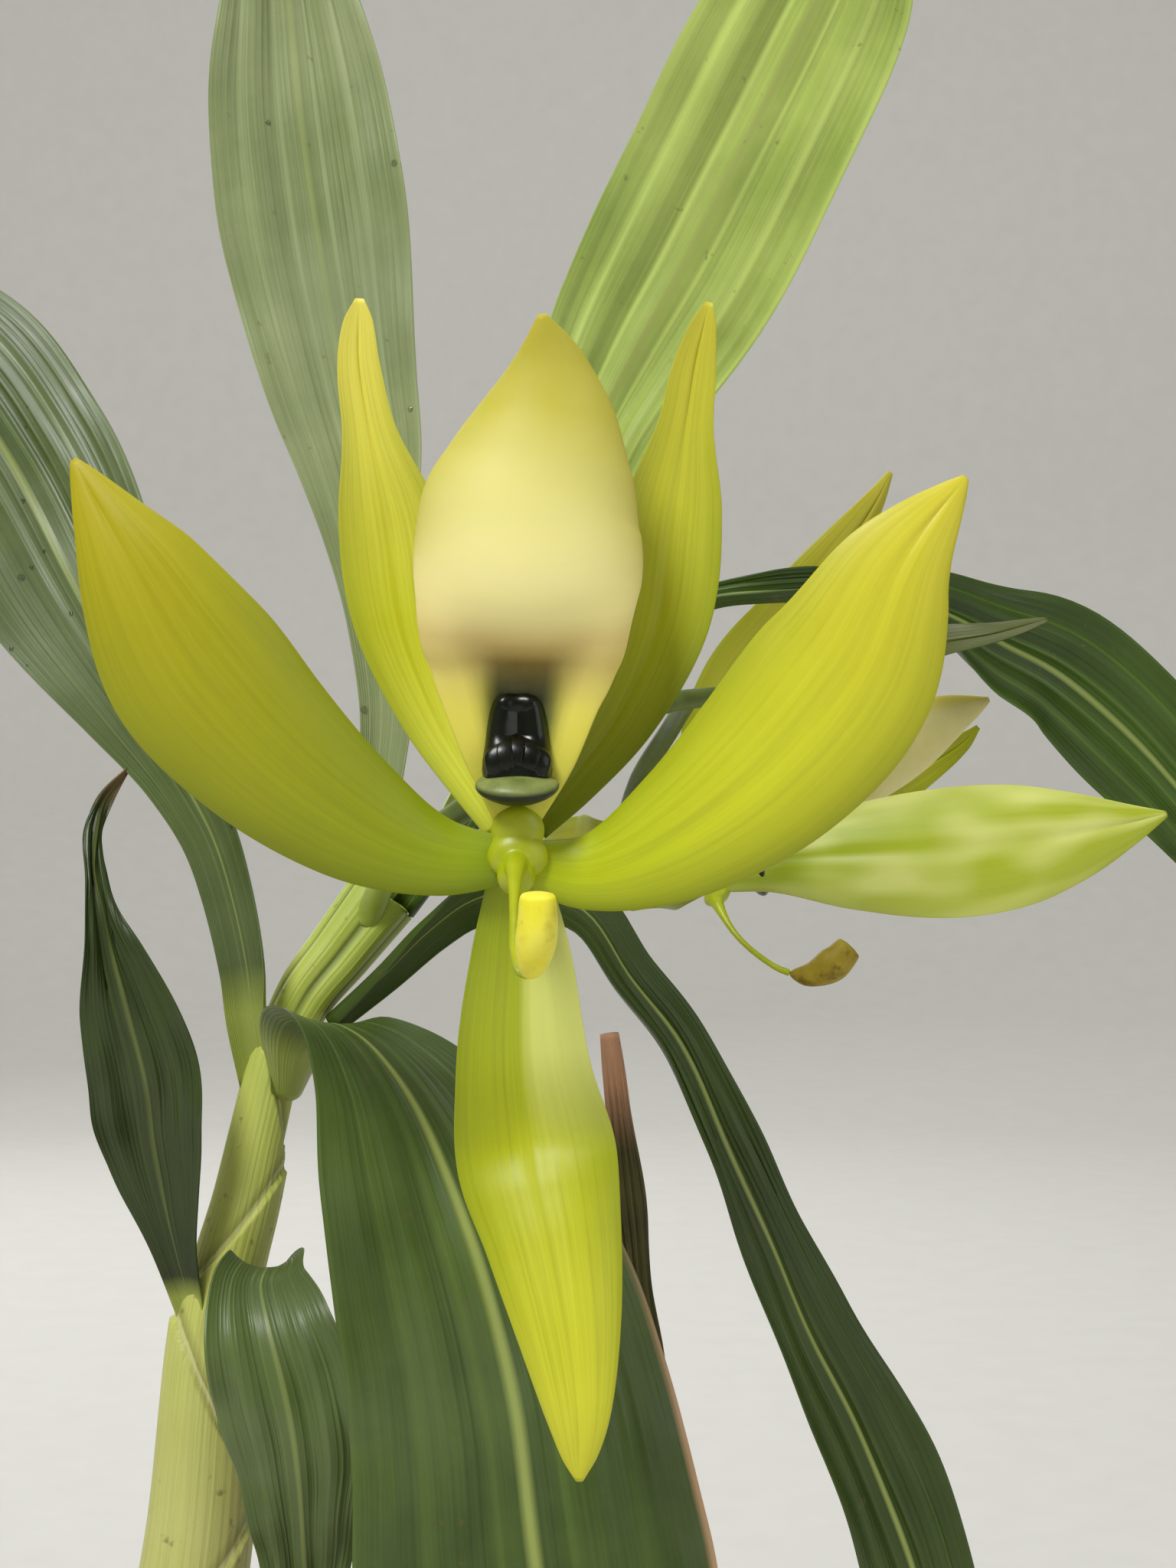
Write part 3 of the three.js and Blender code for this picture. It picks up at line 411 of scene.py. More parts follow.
VEINS = shader_group("long veins", build_veins, Count=20.0, Sharpness=3.0)
STREAKS = shader_group("long streaks", build_streaks, Count=40.0, Length=3.0)
MOTTLE = shader_group("mottle", build_mottle, Scale=60.0, Detail=4.0)
MARGIN = shader_group("margin", build_margin, Sharpness=6.0)
print("shared effects:", [g.name for g in bpy.data.node_groups])

# %% [markdown]
# ## Petal finishes
# The petals and sepals are waxy and yellow green, greener at the base and paler at the tip,
# with long faint veins. One maker takes three colours along the petal and how strong the
# veins are. A thin petal lets some light through, so a little scattering under the surface
# stands in for it: true translucency would need a much slower render.

# %% Petal finishes
def tepal_finish(name, base, middle, tip, vein=0.06, veins=9.0, margin=(120, 136, 0), streaky=0.15,
                 streaks=30.0, sheen_side=0.0, sheen_patches=0.0):
    colours = (base, middle, tip)
    stops = (0.04, 0.42, 0.94)

    def build(t):
        across, along = t.growth()
        body = t.ramp(along, *zip(stops, colours))
        dark = t.ramp(along, *zip(stops, ([0.7 * v for v in c] for c in colours)))
        pale = t.ramp(along, *zip(stops, ([min(255, v + 30) for v in c] for c in colours)))
        lines = t.group(VEINS, Count=veins, Sharpness=4.0)
        streak = t.group(STREAKS, Count=streaks, Length=2.0)
        patch = t.group(MOTTLE, Scale=90.0, Detail=5.0)
        colour = t.mix(t.times(lines, vein), body, dark)
        colour = t.mix(t.fall(streak, 0.35, 0.5, streaky), colour, dark)
        colour = t.mix(t.level(streak, 0.52, 0.7, 0.0, streaky), colour, pale)
        colour = t.mix(t.times(patch, 0.1), colour, pale)
        rim = t.group(MARGIN, Sharpness=2.2)
        away = t.level(along, 0.55, 0.95, 0.55, 0.1)
        colour = t.mix(t.times(rim, away), colour, margin)
        # Painted sheen: a pale whitish patch over one half of the blade, towards its base.
        sheen_half = t.times(t.fall(across, 0.4, 0.55), t.fall(along, 0.3, 0.5, 0.7))
        colour = t.mix(t.times(sheen_half, sheen_side), colour, (212, 214, 124))
        # Painted sheen: soft pale clouds across the blade where light catches it.
        sheen_cloud = t.level(t.noise(t.stretched(3.0, 4.0), 1.0, detail=1.0), 0.4, 0.66, 0.0, sheen_patches)
        colour = t.mix(sheen_cloud, colour, (206, 210, 124))
        rough = t.level(streak, 0.3, 0.7, 0.4, 0.55)
        height = t.plus(t.times(lines, 0.2), t.times(streak, 0.4))
        grain = t.noise(t.place(), 2600.0, detail=2.0)
        normal = t.bump(height, 0.14, 0.2)
        return skin(colour, rough, t.bump(grain, 0.12, 0.04, normal))

    return finish_material(name, build, Subsurface_Weight=0.08, Subsurface_Scale=0.001,
                           Specular_IOR_Level=0.35, Coat_Weight=0.04, Coat_Roughness=0.3)


# The left petal's olive finish is a darker copy of the petal colours, and the right petal's bright finish a
# lighter one: painted shade and painted light on the same petal.
SHADED_OLIVE_PETAL = tepal_finish("petal olive shaded", (136, 156, 0), (155, 158, 2), (174, 162, 12))
LIT_BRIGHT_PETAL = tepal_finish("petal bright lit", (174, 188, 0), (203, 207, 30), (206, 196, 46),
                            margin=(106, 122, 0))
LEFT_SEPAL = tepal_finish("sepal left", (222, 226, 74), (197, 199, 26), (230, 220, 90), streaky=0.25)
RIGHT_SEPAL = tepal_finish("sepal right", (112, 122, 0), (174, 180, 18), (200, 194, 56), streaky=0.2)
# The lower sepal's pale side is painted sheen.
LOWER_SEPAL = tepal_finish("sepal lower", (152, 166, 14), (168, 176, 2), (208, 206, 46), streaky=0.25,
                           sheen_side=1.0)
# This petal's pale clouds are painted sheen.
SHEEN_PETAL = tepal_finish("petal sheen", (140, 158, 8), (158, 172, 30), (156, 168, 30), vein=0.03, veins=7,
                          margin=(186, 192, 100), streaky=0.12, streaks=14.0, sheen_patches=0.75)
FAR_PETAL = tepal_finish("petal far", (150, 152, 40), (164, 160, 40), (182, 174, 44), streaky=0.3)
# The far sepal's finish is a darker copy of the sepal colours: painted shade, as this sepal lies in shadow.
SHADED_FAR_SEPAL = tepal_finish("sepal far shaded", (96, 104, 8), (62, 70, 4), (66, 74, 0), margin=(60, 70, 0),
                         streaky=0.2)
END_SEPAL = tepal_finish("sepal end", (150, 158, 40), (172, 170, 50), (178, 184, 24), streaky=0.3)
print("petal finishes made")

# %% [markdown]
# ## Lip, callus, column and cap
# The lip is cream and turns yellow towards its margins and tip. The callus on it is a black
# green knob, glossy from a low roughness and a thin coat. The column is lime green and its cap
# is yellow, both with a skin like wax.

# %% Lip, callus, column and cap
def build_lip(t):
    _, along = t.growth()
    # The flank stops paint a soft tan shade at the lower edge of the belly. The hollow stops paint the
    # brown shade of the recess under the belly's fold, which is laid on the middle of the lip below it.
    flank_and_shade_stops = [
        (0.0, (196, 196, 50)), (0.2, (222, 212, 84)), (0.27, (224, 210, 106)), (0.32, (216, 196, 112)),
        (0.37, (222, 200, 128)), (0.43, (246, 234, 160)), (0.5, (242, 232, 158)), (0.62, (226, 218, 134)),
        (0.82, (196, 188, 74)), (1.0, (178, 168, 40)),
    ]
    hollow = [
        (0.0, (196, 196, 50)), (0.2, (120, 110, 30)), (0.27, (118, 102, 28)), (0.32, (136, 114, 44)),
        (0.37, (208, 182, 112)), (0.43, (246, 234, 160)), (1.0, (178, 168, 40)),
    ]
    sides = t.ramp(along, *flank_and_shade_stops)
    depth = t.ramp(along, *hollow)
    middle = t.minus(1.0, t.group(MARGIN, Sharpness=1.0))
    low = t.fall(along, 0.36, 0.42)
    body = t.mix(t.times(t.level(middle, 0.3, 0.75), low), sides, depth)
    green = t.times(t.level(middle, 0.42, 0.62), t.band(along, 0.08, 0.14, 0.2, 0.3))
    body = t.mix(t.times(green, 0.85), body, (74, 96, 8))
    stain = t.times(t.level(middle, 0.52, 0.74), t.band(along, 0.14, 0.2, 0.24, 0.34))
    colour = t.mix(stain, body, (14, 20, 2))
    edge = t.group(MARGIN, Sharpness=3.0)
    upper = t.level(along, 0.4, 0.6, 0.1, 0.7)
    colour = t.mix(t.times(edge, upper), colour, (186, 178, 62))
    patch = t.group(MOTTLE, Scale=110.0, Detail=5.0)
    colour = t.mix(t.times(patch, 0.08), colour, (240, 230, 176))
    return skin(colour, t.between(patch, 0.45, 0.6), t.bump(patch, 0.1, 0.2))


def build_far_lip(t):
    across, _ = t.growth()
    patch = t.group(MOTTLE, Scale=130.0, Detail=5.0)
    cream = t.mix(patch, (226, 216, 140), (240, 230, 160))
    colour = t.mix(t.level(across, 0.3, 0.1), cream, (236, 222, 96))
    return skin(colour, t.between(patch, 0.45, 0.6), t.bump(patch, 0.1, 0.2))


def build_callus(t):
    patch = t.group(MOTTLE, Scale=260.0, Detail=4.0)
    black = t.mix(patch, (3, 5, 1), (9, 14, 2))
    edge = t.group(MARGIN, Sharpness=9.0)
    colour = t.mix(t.times(edge, 0.3), black, (50, 70, 24))
    return skin(colour, t.between(patch, 0.2, 0.32), t.bump(patch, 0.2, 0.15))


def build_ledge(t):
    _, along = t.growth()
    patch = t.group(MOTTLE, Scale=300.0, Detail=4.0)
    # Painted light and shade: the top of the ledge is lit grey green, and its front is painted dark.
    top = t.mix(patch, (104, 118, 56), (144, 154, 88))
    colour = t.mix(t.level(along, 0.56, 0.7), (20, 30, 2), top)
    return skin(colour, t.between(patch, 0.35, 0.5), t.bump(patch, 0.3, 0.2))


def build_column(t):
    patch = t.group(MOTTLE, Scale=160.0, Detail=4.0)
    colour = t.mix(patch, (156, 170, 0), (180, 188, 20))
    return skin(colour, t.between(patch, 0.34, 0.5), t.bump(patch, 0.2, 0.2))


def cap_finish(name, low, high, spot):
    def build(t):
        patch = t.group(MOTTLE, Scale=240.0, Detail=4.0)
        colour = t.mix(patch, low, high)
        mark = t.level(t.noise(t.place(), 420.0, 3.0), 0.54, 0.7, 0.0, 0.7)
        colour = t.mix(mark, colour, spot)
        return skin(colour, t.between(patch, 0.45, 0.6), t.bump(patch, 0.2, 0.15))

    return finish_material(name, build, Subsurface_Weight=0.08, Subsurface_Scale=0.001,
                           Specular_IOR_Level=0.3)


LIP = finish_material("lip cream", build_lip, Subsurface_Weight=0.1, Subsurface_Scale=0.0012,
                      Specular_IOR_Level=0.25)
FAR_LIP = finish_material("lip far", build_far_lip, Subsurface_Weight=0.1, Subsurface_Scale=0.0012)
CALLUS = finish_material("callus black", build_callus, Specular_IOR_Level=0.3, Coat_Weight=0.06,
                         Coat_Roughness=0.1)
LEDGE = finish_material("callus ledge", build_ledge, Specular_IOR_Level=0.35, Coat_Weight=0.1,
                        Coat_Roughness=0.25)
COLUMN = finish_material("column lime", build_column, Subsurface_Weight=0.08, Subsurface_Scale=0.001,
                         Coat_Weight=0.1, Coat_Roughness=0.3)
CAPS = dict(
    front_flower=cap_finish("cap yellow", (234, 224, 44), (242, 234, 96), (216, 202, 56)),
    right_flower=cap_finish("cap orange", (136, 116, 22), (168, 148, 42), (96, 66, 16)),
)
print("flower finishes made")

# %% [markdown]
# ## Leaf finish
# The leaves are folded lengthwise like a fan. Each has a pale midrib, many fine parallel
# veins, soft grey patches of painted sheen and small blemishes. One maker takes the leaf's
# two greens, how strong its midrib shows and how much painted sheen it has.

# %% Leaf finish
def leaf_finish(name, light, dark, veins=26.0, ribs=5.0, rib=0.3, midrib=0.5, painted_sheen=0.15, brown_tip=0.0,
                rust=0.0, pale_base=1.0):
    def build(t):
        across, along = t.growth()
        patch = t.group(MOTTLE, Scale=30.0, Detail=5.0)
        body = t.mix(patch, dark, light)
        lines = t.group(VEINS, Count=veins, Sharpness=2.5)
        main = t.group(VEINS, Count=ribs, Sharpness=12.0)
        streak = t.group(STREAKS, Count=90.0, Length=3.0)
        pale = [min(255, 1.15 * v + 16) for v in light]
        deep = [0.55 * v for v in dark]
        colour = t.mix(t.level(streak, 0.4, 0.7, 0.0, 0.22), body, pale)
        colour = t.mix(t.times(lines, 0.07), colour, deep)
        colour = t.mix(t.times(main, rib), colour, pale)
        middle = t.minus(1.0, t.group(MARGIN, Sharpness=1.0))
        keel = t.times(t.level(middle, 0.95, 0.99), midrib)
        colour = t.mix(keel, colour, (158, 170, 88))
        # Painted sheen: soft grey patches where light glances off the leaf.
        grey = t.times(t.level(t.noise(t.place(), 22.0, 4.0), 0.42, 0.68), painted_sheen)
        colour = t.mix(grey, colour, (140, 152, 112))
        spot = t.level(t.noise(t.place(), 420.0, 2.0), 0.7, 0.76, 0.0, 0.4)
        colour = t.mix(spot, colour, (96, 84, 46))
        ends = t.times(t.level(along, 0.9, 1.0), brown_tip)
        colour = t.mix(ends, colour, (128, 98, 62))
        side = t.times(t.level(across, 0.03, 0.008), t.level(along, 0.4, 0.6))
        colour = t.mix(t.times(side, rust), colour, (196, 158, 118))
        foot = t.times(t.fall(along, 0.06, 0.1), pale_base)
        colour = t.mix(foot, colour, t.mix(streak, (128, 146, 48), (186, 196, 100)))
        height = t.plus(t.times(lines, 0.4), t.times(streak, 0.3))
        height = t.plus(height, t.times(main, 0.9))
        normal = t.bump(height, 0.45, 0.4)
        fine = t.noise(t.place(), 1800.0, 2.0)
        rough = t.level(streak, 0.3, 0.7, 0.32, 0.5)
        return skin(colour, rough, t.bump(fine, 0.15, 0.05, normal))

    return finish_material(name, build, Specular_IOR_Level=0.4, Coat_Weight=0.06, Coat_Roughness=0.3)


# The pale grey greens of the leaf sheen finish are painted sheen as well.
LEAF_GREY = leaf_finish("leaf grey green", (88, 104, 52), (50, 66, 20), painted_sheen=0.3)
LEAF_SHEEN = leaf_finish("leaf sheen", (148, 158, 112), (104, 120, 68), painted_sheen=0.45, midrib=0.3)
LEAF_PALE = leaf_finish("leaf pale", (172, 190, 96), (120, 144, 56), midrib=1.0, painted_sheen=0.12, veins=14,
                        rib=0.6)
LEAF_DEEP = leaf_finish("leaf deep", (54, 78, 10), (28, 46, 0), painted_sheen=0.03, midrib=0.5, rib=0.7,
                        pale_base=0.0)
LEAF_SHADE = leaf_finish("leaf shade", (46, 62, 12), (28, 42, 2), painted_sheen=0.05, brown_tip=1.0, midrib=0.25)
LEAF_HANGING = leaf_finish("leaf hanging", (62, 82, 20), (40, 58, 4), painted_sheen=0.08, midrib=0.8, pale_base=0.0)
LEAF_FRESH = leaf_finish("leaf fresh", (78, 98, 36), (44, 62, 8), painted_sheen=0.2, midrib=0.35)
LEAF_RUSTY = leaf_finish("leaf rusty margin", (74, 96, 28), (42, 62, 4), painted_sheen=0.12, rust=1.0, midrib=0.8)
print("leaf finishes made")

# %% [markdown]
# ## Blades
# A blade is a midline, the half width along it, and a section that may curl, fold at the
# midrib, ripple into pleats and wave at its margins. A plane with modifiers could be bent
# into one leaf, but eight leaves and twelve flower parts come faster from one rule. The
# columns crowd towards the margins and the thickness runs out there, so a blade ends in a
# soft rounded edge.

# %% Blades
NARROWEST_HALF = 0.35


def blade(name, finish, spine, facing, width, thickness, stations, columns, curl, relief):
    """A closed blade. facing lists [place, direction]; relief(t, u, half) lifts the surface."""
    t = np.linspace(0, 1, stations + 1)
    u = np.sin(np.linspace(-0.5, 0.5, columns + 1) * math.pi)
    spots, along = through(spine, stations + 1)
    parts = [profile([(place, way[k]) for place, way in facing])(t) for k in range(3)]
    hint = np.stack(parts, axis=1)
    side = unit(np.cross(along, hint))
    face = unit(np.cross(side, along))
    half = np.maximum(width(t), NARROWEST_HALF)[:, None]
    bend = (curl(t) + 1e-6)[:, None]
    out = half * np.sin(u * bend) / bend
    rise = half * (1 - np.cos(u * bend)) / bend
    rise = rise + relief(t[:, None], u[None, :], half)
    middle = spots[:, None] + side[:, None] * out[..., None] + face[:, None] * rise[..., None]
    thin = np.sqrt(np.clip(1.02 - np.abs(u) ** 5, 0, 1)) * np.sqrt(np.clip(1.03 - t[:, None] ** 24, 0, 1))
    depth = (thickness(t[:, None], u[None, :]) * thin / 2)[..., None]
    return shell(name, middle, depth, (u[None, :] + 1) / 2, t[:, None], finish)


# %% [markdown]
# ## Leaves
# Eight leaves rise from the top of the cane. Each midline, width and facing is the one its
# solid has. A real leaf of this kind is pleated: its main veins are sharp ridges and valleys.
# The pleat here is a soft zigzag rather than a sine wave, and it fades out at the folded base
# and the tip. Slow waves run along the margins, and small dents keep the light uneven.

# %% Leaf data
LEAVES = [
    dict(
        name="leaf_upper_left", finish=LEAF_GREY,
        spine=[[-14.4, -1, 263], [-15.9, -4, 273], [-16.5, -6, 281], [-18.9, -6, 292], [-22, -5, 301],
            [-27, -4, 310], [-33.5, -2, 320.5], [-45, 3, 340.5], [-56.5, 9, 360], [-70, 13, 378],
            [-90, 16, 392], [-110, 17, 399], [-126, 16, 396]],
        facing=[[0, [-0.5, -0.8, 0.3]], [0.4, [-0.1, -1, 0.1]], [0.7, [0.3, -0.8, 0.5]],
            [1, [0.2, -0.5, 0.9]]],
        width=[[0, 4.6], [0.1, 4.8], [0.2, 5.2], [0.26, 6.2], [0.32, 8.8], [0.44, 14.8], [0.56, 16.5],
            [0.68, 15.5], [0.81, 11.5], [0.92, 6], [1, 0.6]],
        curl=[[0, 1.5], [0.12, 1], [0.25, 0.8], [0.45, 0.25], [1, 0.15]],
        pleat=0.9,
    ),
    dict(
        name="leaf_upper", finish=LEAF_SHEEN,
        spine=[[0.8, 5.5, 290], [1.3, 7, 298], [2.6, 8, 308], [3.6, 9, 320], [2.8, 10, 333],
            [1.2, 11, 347], [-1, 12, 360.5], [-4, 13, 373], [-7.6, 14, 392], [-11, 15, 415],
            [-13, 15, 435], [-15, 12, 455], [-19, 3, 473]],
        facing=[[0, [-0.2, -1, 0]], [0.5, [0, -1, 0]], [1, [0.1, -1, 0.3]]],
        width=[[0, 4], [0.1, 4.6], [0.23, 6], [0.31, 8], [0.385, 10.6], [0.45, 12.4], [0.555, 14.8],
            [0.61, 15.2], [0.705, 14], [0.79, 10.6], [0.89, 5.6], [0.96, 2.6], [1, 0.6]],
        curl=[[0, 1.6], [0.2, 1], [0.4, 0.35], [1, 0.2]],
        pleat=0.8,
    ),
    dict(
        name="leaf_upper_right", finish=LEAF_PALE,
        spine=[[4.5, 7, 290], [9.5, 9.5, 296], [17.5, 14, 310], [25, 18, 328.5], [32, 21, 353],
            [36.5, 21, 367], [42.6, 20, 379], [50.5, 17, 392.5], [58, 13, 406.5], [71, 3, 431],
            [79, -6, 446], [88, -18, 459]],
        facing=[[0, [0.3, -1, 0.3]], [0.5, [0, -1, 0]], [1, [-0.2, -1, 0.2]]],
        width=[[0, 3.5], [0.14, 4.2], [0.22, 5], [0.355, 9], [0.425, 12], [0.5, 15], [0.575, 16.6],
            [0.65, 16.8], [0.81, 15.4], [0.9, 9.5], [0.96, 4.2], [1, 0.6]],
        curl=[[0, 1.6], [0.2, 1], [0.4, 0.3], [1, 0.2]],
        pleat=1.2,
    ),
    dict(
        name="leaf_right", finish=LEAF_DEEP,
        spine=[[7, 2.5, 289.5], [15, 0, 300], [25, -2, 313], [35, -6, 325], [45, -9, 333],
            [54, -10, 336.3], [62, -10, 337.2], [70, -7, 337.7], [79, 1, 338], [86, 8, 337.2],
            [92.6, 13, 335.2], [101.6, 18, 331], [112, 21, 326], [127, 20, 312], [139, 16, 295],
            [145, 12, 277]],
        facing=[[0, [-0.4, -0.9, 0.3]], [0.35, [-0.2, -0.6, 0.8]], [0.6, [0, -0.9, 0.45]],
            [1, [0.3, -0.9, 0.2]]],
        width=[[0, 3.2], [0.2, 3.2], [0.4, 3.2], [0.47, 4.4], [0.53, 6.5], [0.6, 9], [0.67, 11.6],
            [0.78, 11.8], [0.88, 9], [0.95, 4], [1, 0.6]],
        curl=[[0, 1.6], [0.4, 1.4], [0.52, 0.5], [0.7, 0.25], [1, 0.2]],
        pleat=0.8,
    ),
    dict(
        name="leaf_lower_left", finish=LEAF_SHADE,
        spine=[[-24.5, -2, 226], [-27.6, -7, 240], [-30, -11, 255], [-31, -14, 266], [-34, -15, 277],
            [-37.4, -14, 289], [-39.4, -11, 298], [-39, -8, 305.5], [-35.3, -4, 311.5]],
        facing=[[0, [-0.5, -0.8, 0.2]], [0.5, [0.1, -1, 0.1]], [0.8, [0.6, -0.7, 0.2]],
            [1, [0.9, 0.2, 0.4]]],
        width=[[0, 3.2], [0.15, 4.2], [0.305, 7.4], [0.44, 8.4], [0.57, 7], [0.715, 3], [0.82, 2],
            [0.92, 1.6], [1, 0.6]],
        curl=[[0, 1.3], [0.2, 0.5], [0.6, 0.3], [1, 1]],
        pleat=0.6,
        pleats=3,
    ),
    dict(
        name="leaf_arching", finish=LEAF_RUSTY,
        spine=[[-10.5, -2.5, 261], [-8, -8.4, 268.3], [-4.5, -13, 272.6], [1, -18.5, 271.5],
            [8, -26, 265], [14.5, -33, 254], [20, -37, 240], [24.5, -38, 223], [27.3, -38, 202],
            [30, -36, 179], [31, -32, 156]],
        facing=[[0, [-0.2, 0, 0.9]], [0.12, [0.2, 0, 1]], [0.25, [0.45, -0.5, 0.8]],
            [0.4, [0.2, -0.9, 0.5]], [1, [0.1, -1, 0.1]]],
        width=[[0, 3.4], [0.04, 5], [0.085, 8.4], [0.13, 11.4], [0.25, 16.5], [0.4, 20.5], [0.6, 24],
            [0.78, 25.5], [0.9, 17], [0.97, 7], [1, 0.8]],
        curl=[[0, 1.2], [0.06, 0.8], [0.12, 0.45], [0.2, 0.3], [0.4, -0.3], [1, -0.2]],
        pleat=1.2,
        pleats=5,
    ),
    dict(
        name="leaf_lower_front", finish=LEAF_FRESH,
        spine=[[-18, -3, 222], [-15, -8, 232], [-12.8, -13.5, 236.3], [-13, -19, 234.7],
            [-11.2, -24, 230], [-8.6, -26, 221.6], [-6.8, -26, 212.4], [-6.3, -24.5, 202.7],
            [-6.2, -22, 194.9], [-6.5, -18, 180], [-7, -14, 166]],
        facing=[[0, [0, 0.3, 1]], [0.2, [0, -0.1, 1]], [0.32, [-0.1, -0.8, 0.6]],
            [0.45, [-0.1, -1, 0.1]], [1, [-0.1, -1, 0]]],
        width=[[0, 3], [0.1, 4.4], [0.19, 6.6], [0.25, 7.6], [0.32, 9.2], [0.42, 10.7], [0.51, 10.2],
            [0.61, 8.2], [0.7, 6.7], [0.85, 4.4], [0.95, 2], [1, 0.6]],
        curl=[[0, 1.3], [0.2, 1.1], [0.32, 0.3], [0.45, -0.2], [1, -0.2]],
        pleat=0.7,
    ),
    dict(
        name="leaf_hanging_right", finish=LEAF_HANGING,
        spine=[[-4.8, -0.5, 272.8], [3.2, -1.5, 280], [10.5, -3, 287], [17, -5, 291.5], [25, -6, 293],
            [34, -4, 289.5], [41, 0, 279], [48.5, 2, 269], [56, 5, 253], [63.3, 7, 236.5], [69.5, 8, 222],
            [77, 9, 207], [84, 10, 190.5], [90, 11.5, 172], [95, 12, 156], [98, 11, 141]],
        facing=[[0, [0.7, -0.3, -0.5]], [0.1, [0.6, -0.6, -0.3]], [0.3, [0.5, -0.8, 0.4]],
            [0.6, [0.5, -0.8, 0.2]], [1, [0.2, -1, 0.2]]],
        width=[[0, 3.4], [0.15, 5], [0.3, 5.2], [0.42, 5.4], [0.5, 6.6], [0.58, 8.4], [0.66, 9.8],
            [0.8, 9.6], [0.92, 5.4], [1, 0.6]],
        curl=[[0, 1.6], [0.2, 0.9], [0.5, 0.6], [1, 0.2]],
        pleat=0.7,
    ),
]


# %% Leaves
def zigzag(turns):
    """A soft zigzag between -1 and 1, one ridge for each whole turn."""
    return np.arcsin(0.85 * np.cos(2 * math.pi * turns)) / math.asin(0.85)


def leaf_relief(leaf, phase):
    pleats = leaf.get("pleats", 4)

    def relief(t, u, half):
        open_part = smoothstep(t, 0.15, 0.45) * (1 - smoothstep(t, 0.85, 1))
        keel = 0.12 * open_part * np.abs(u) * half
        pleat = leaf["pleat"] * open_part * zigzag(pleats * u / 2) * (1 - u * u)
        pleat = 0.8 * pleat + 0.07 * open_part * zigzag(2 * pleats * u + 0.25) * (1 - u ** 4)
        margin = 0.8 * open_part * u * u * np.sin(19 * t + np.where(u > 0, 1.7, 0))
        small = 0.35 * open_part * np.abs(u) ** 3 * np.sin(47 * t + 3 * u + phase)
        dents = 0.28 * open_part * np.sin(31 * t + 5 * u + phase) * np.sin(9 * u - 13 * t)
        return keel + pleat + margin + small + dents

    return relief


leaf_pieces = {}
for number, leaf in enumerate(LEAVES):
    piece = blade(
        "fine_" + leaf["name"], leaf["finish"], leaf["spine"], leaf["facing"], profile(leaf["width"]),
        lambda t, u: 0.7 + 0.8 * (1 - t) * (1 - np.abs(u)), stations=120, columns=56,
        curl=profile(leaf["curl"]), relief=leaf_relief(leaf, 1.3 * number),
    )
    leaf_pieces[leaf["name"]] = settle(piece, leaf["name"])
print("leaf triangles:", sum(map(triangles, leaf_pieces.values())))

# %% [markdown]
# ## Flower organs
# A swan orchid's flower has three sepals, two petals and a lip, all blades, round a short hub.
# In each flower's own frame x runs right, y runs up and z comes out towards the viewer. The
# second flower is half open and looks to the right, so its organs are placed one by one.

# %% Flower data
FLOWERS = dict(
    front_flower=dict(
        centre=(25.7, -60, 300.4), size=1,
        hub_out=(0, 0, 1), hub_up=(0, 1, 0), across=(1, 0, 0),
        neck=[[0, -0.5, 0], [0, -2.4, 6], [0, -7, 13], [0.2, -11.6, 19], [1, -14, 24], [2.1, -14.2, 27.2]],
        cap=[[2.2, -14.4, 27], [2.8, -12, 29.8], [3.3, -8.6, 31.6], [3.4, -4.2, 32.4]], cap_swell=0,
        callus_along=(0, 1, 0), callus_out=(0, 0, 1),
        stalk=[[10.5, -15, 300.5], [13, -27, 297], [20, -42, 297]],
    ),
    right_flower=dict(
        centre=(54, 14, 295), size=0.85,
        hub_out=(0.825, -0.36, 0.43), hub_up=(0, 1, 0), across=(0, 0, 1),
        neck=[[0.4, -0.6, 0.4], [1.5, -4.8, 2], [4.8, -10.3, 6], [10.2, -14.6, 8], [12.6, -15.6, 8.6]],
        cap=[[12.6, -15.7, 8.6], [15.8, -15.8, 9], [19.4, -14, 9.5], [22, -11.3, 9.5]], cap_swell=0.2,
        callus_along=(0.75, 0.65, -0.25), callus_out=(0.5, -0.75, 0.3),
        stalk=[[50, -15, 321.6], [48, 0, 318], [43, 12, 309], [42, 18, 302.5]],
    ),
)
LIP_CURL = [[0, 0.5], [0.2, 0.35], [0.3, 0], [0.42, -0.5], [0.6, -0.75], [0.85, -0.7], [1, -0.4]]
PETAL_CURL = [[0, -0.5], [0.2, -0.45], [0.6, -0.4], [1, -0.3]]
SEPAL_CURL = [[0, 0.7], [0.4, 0.3], [0.7, 0.5], [1, 0.6]]

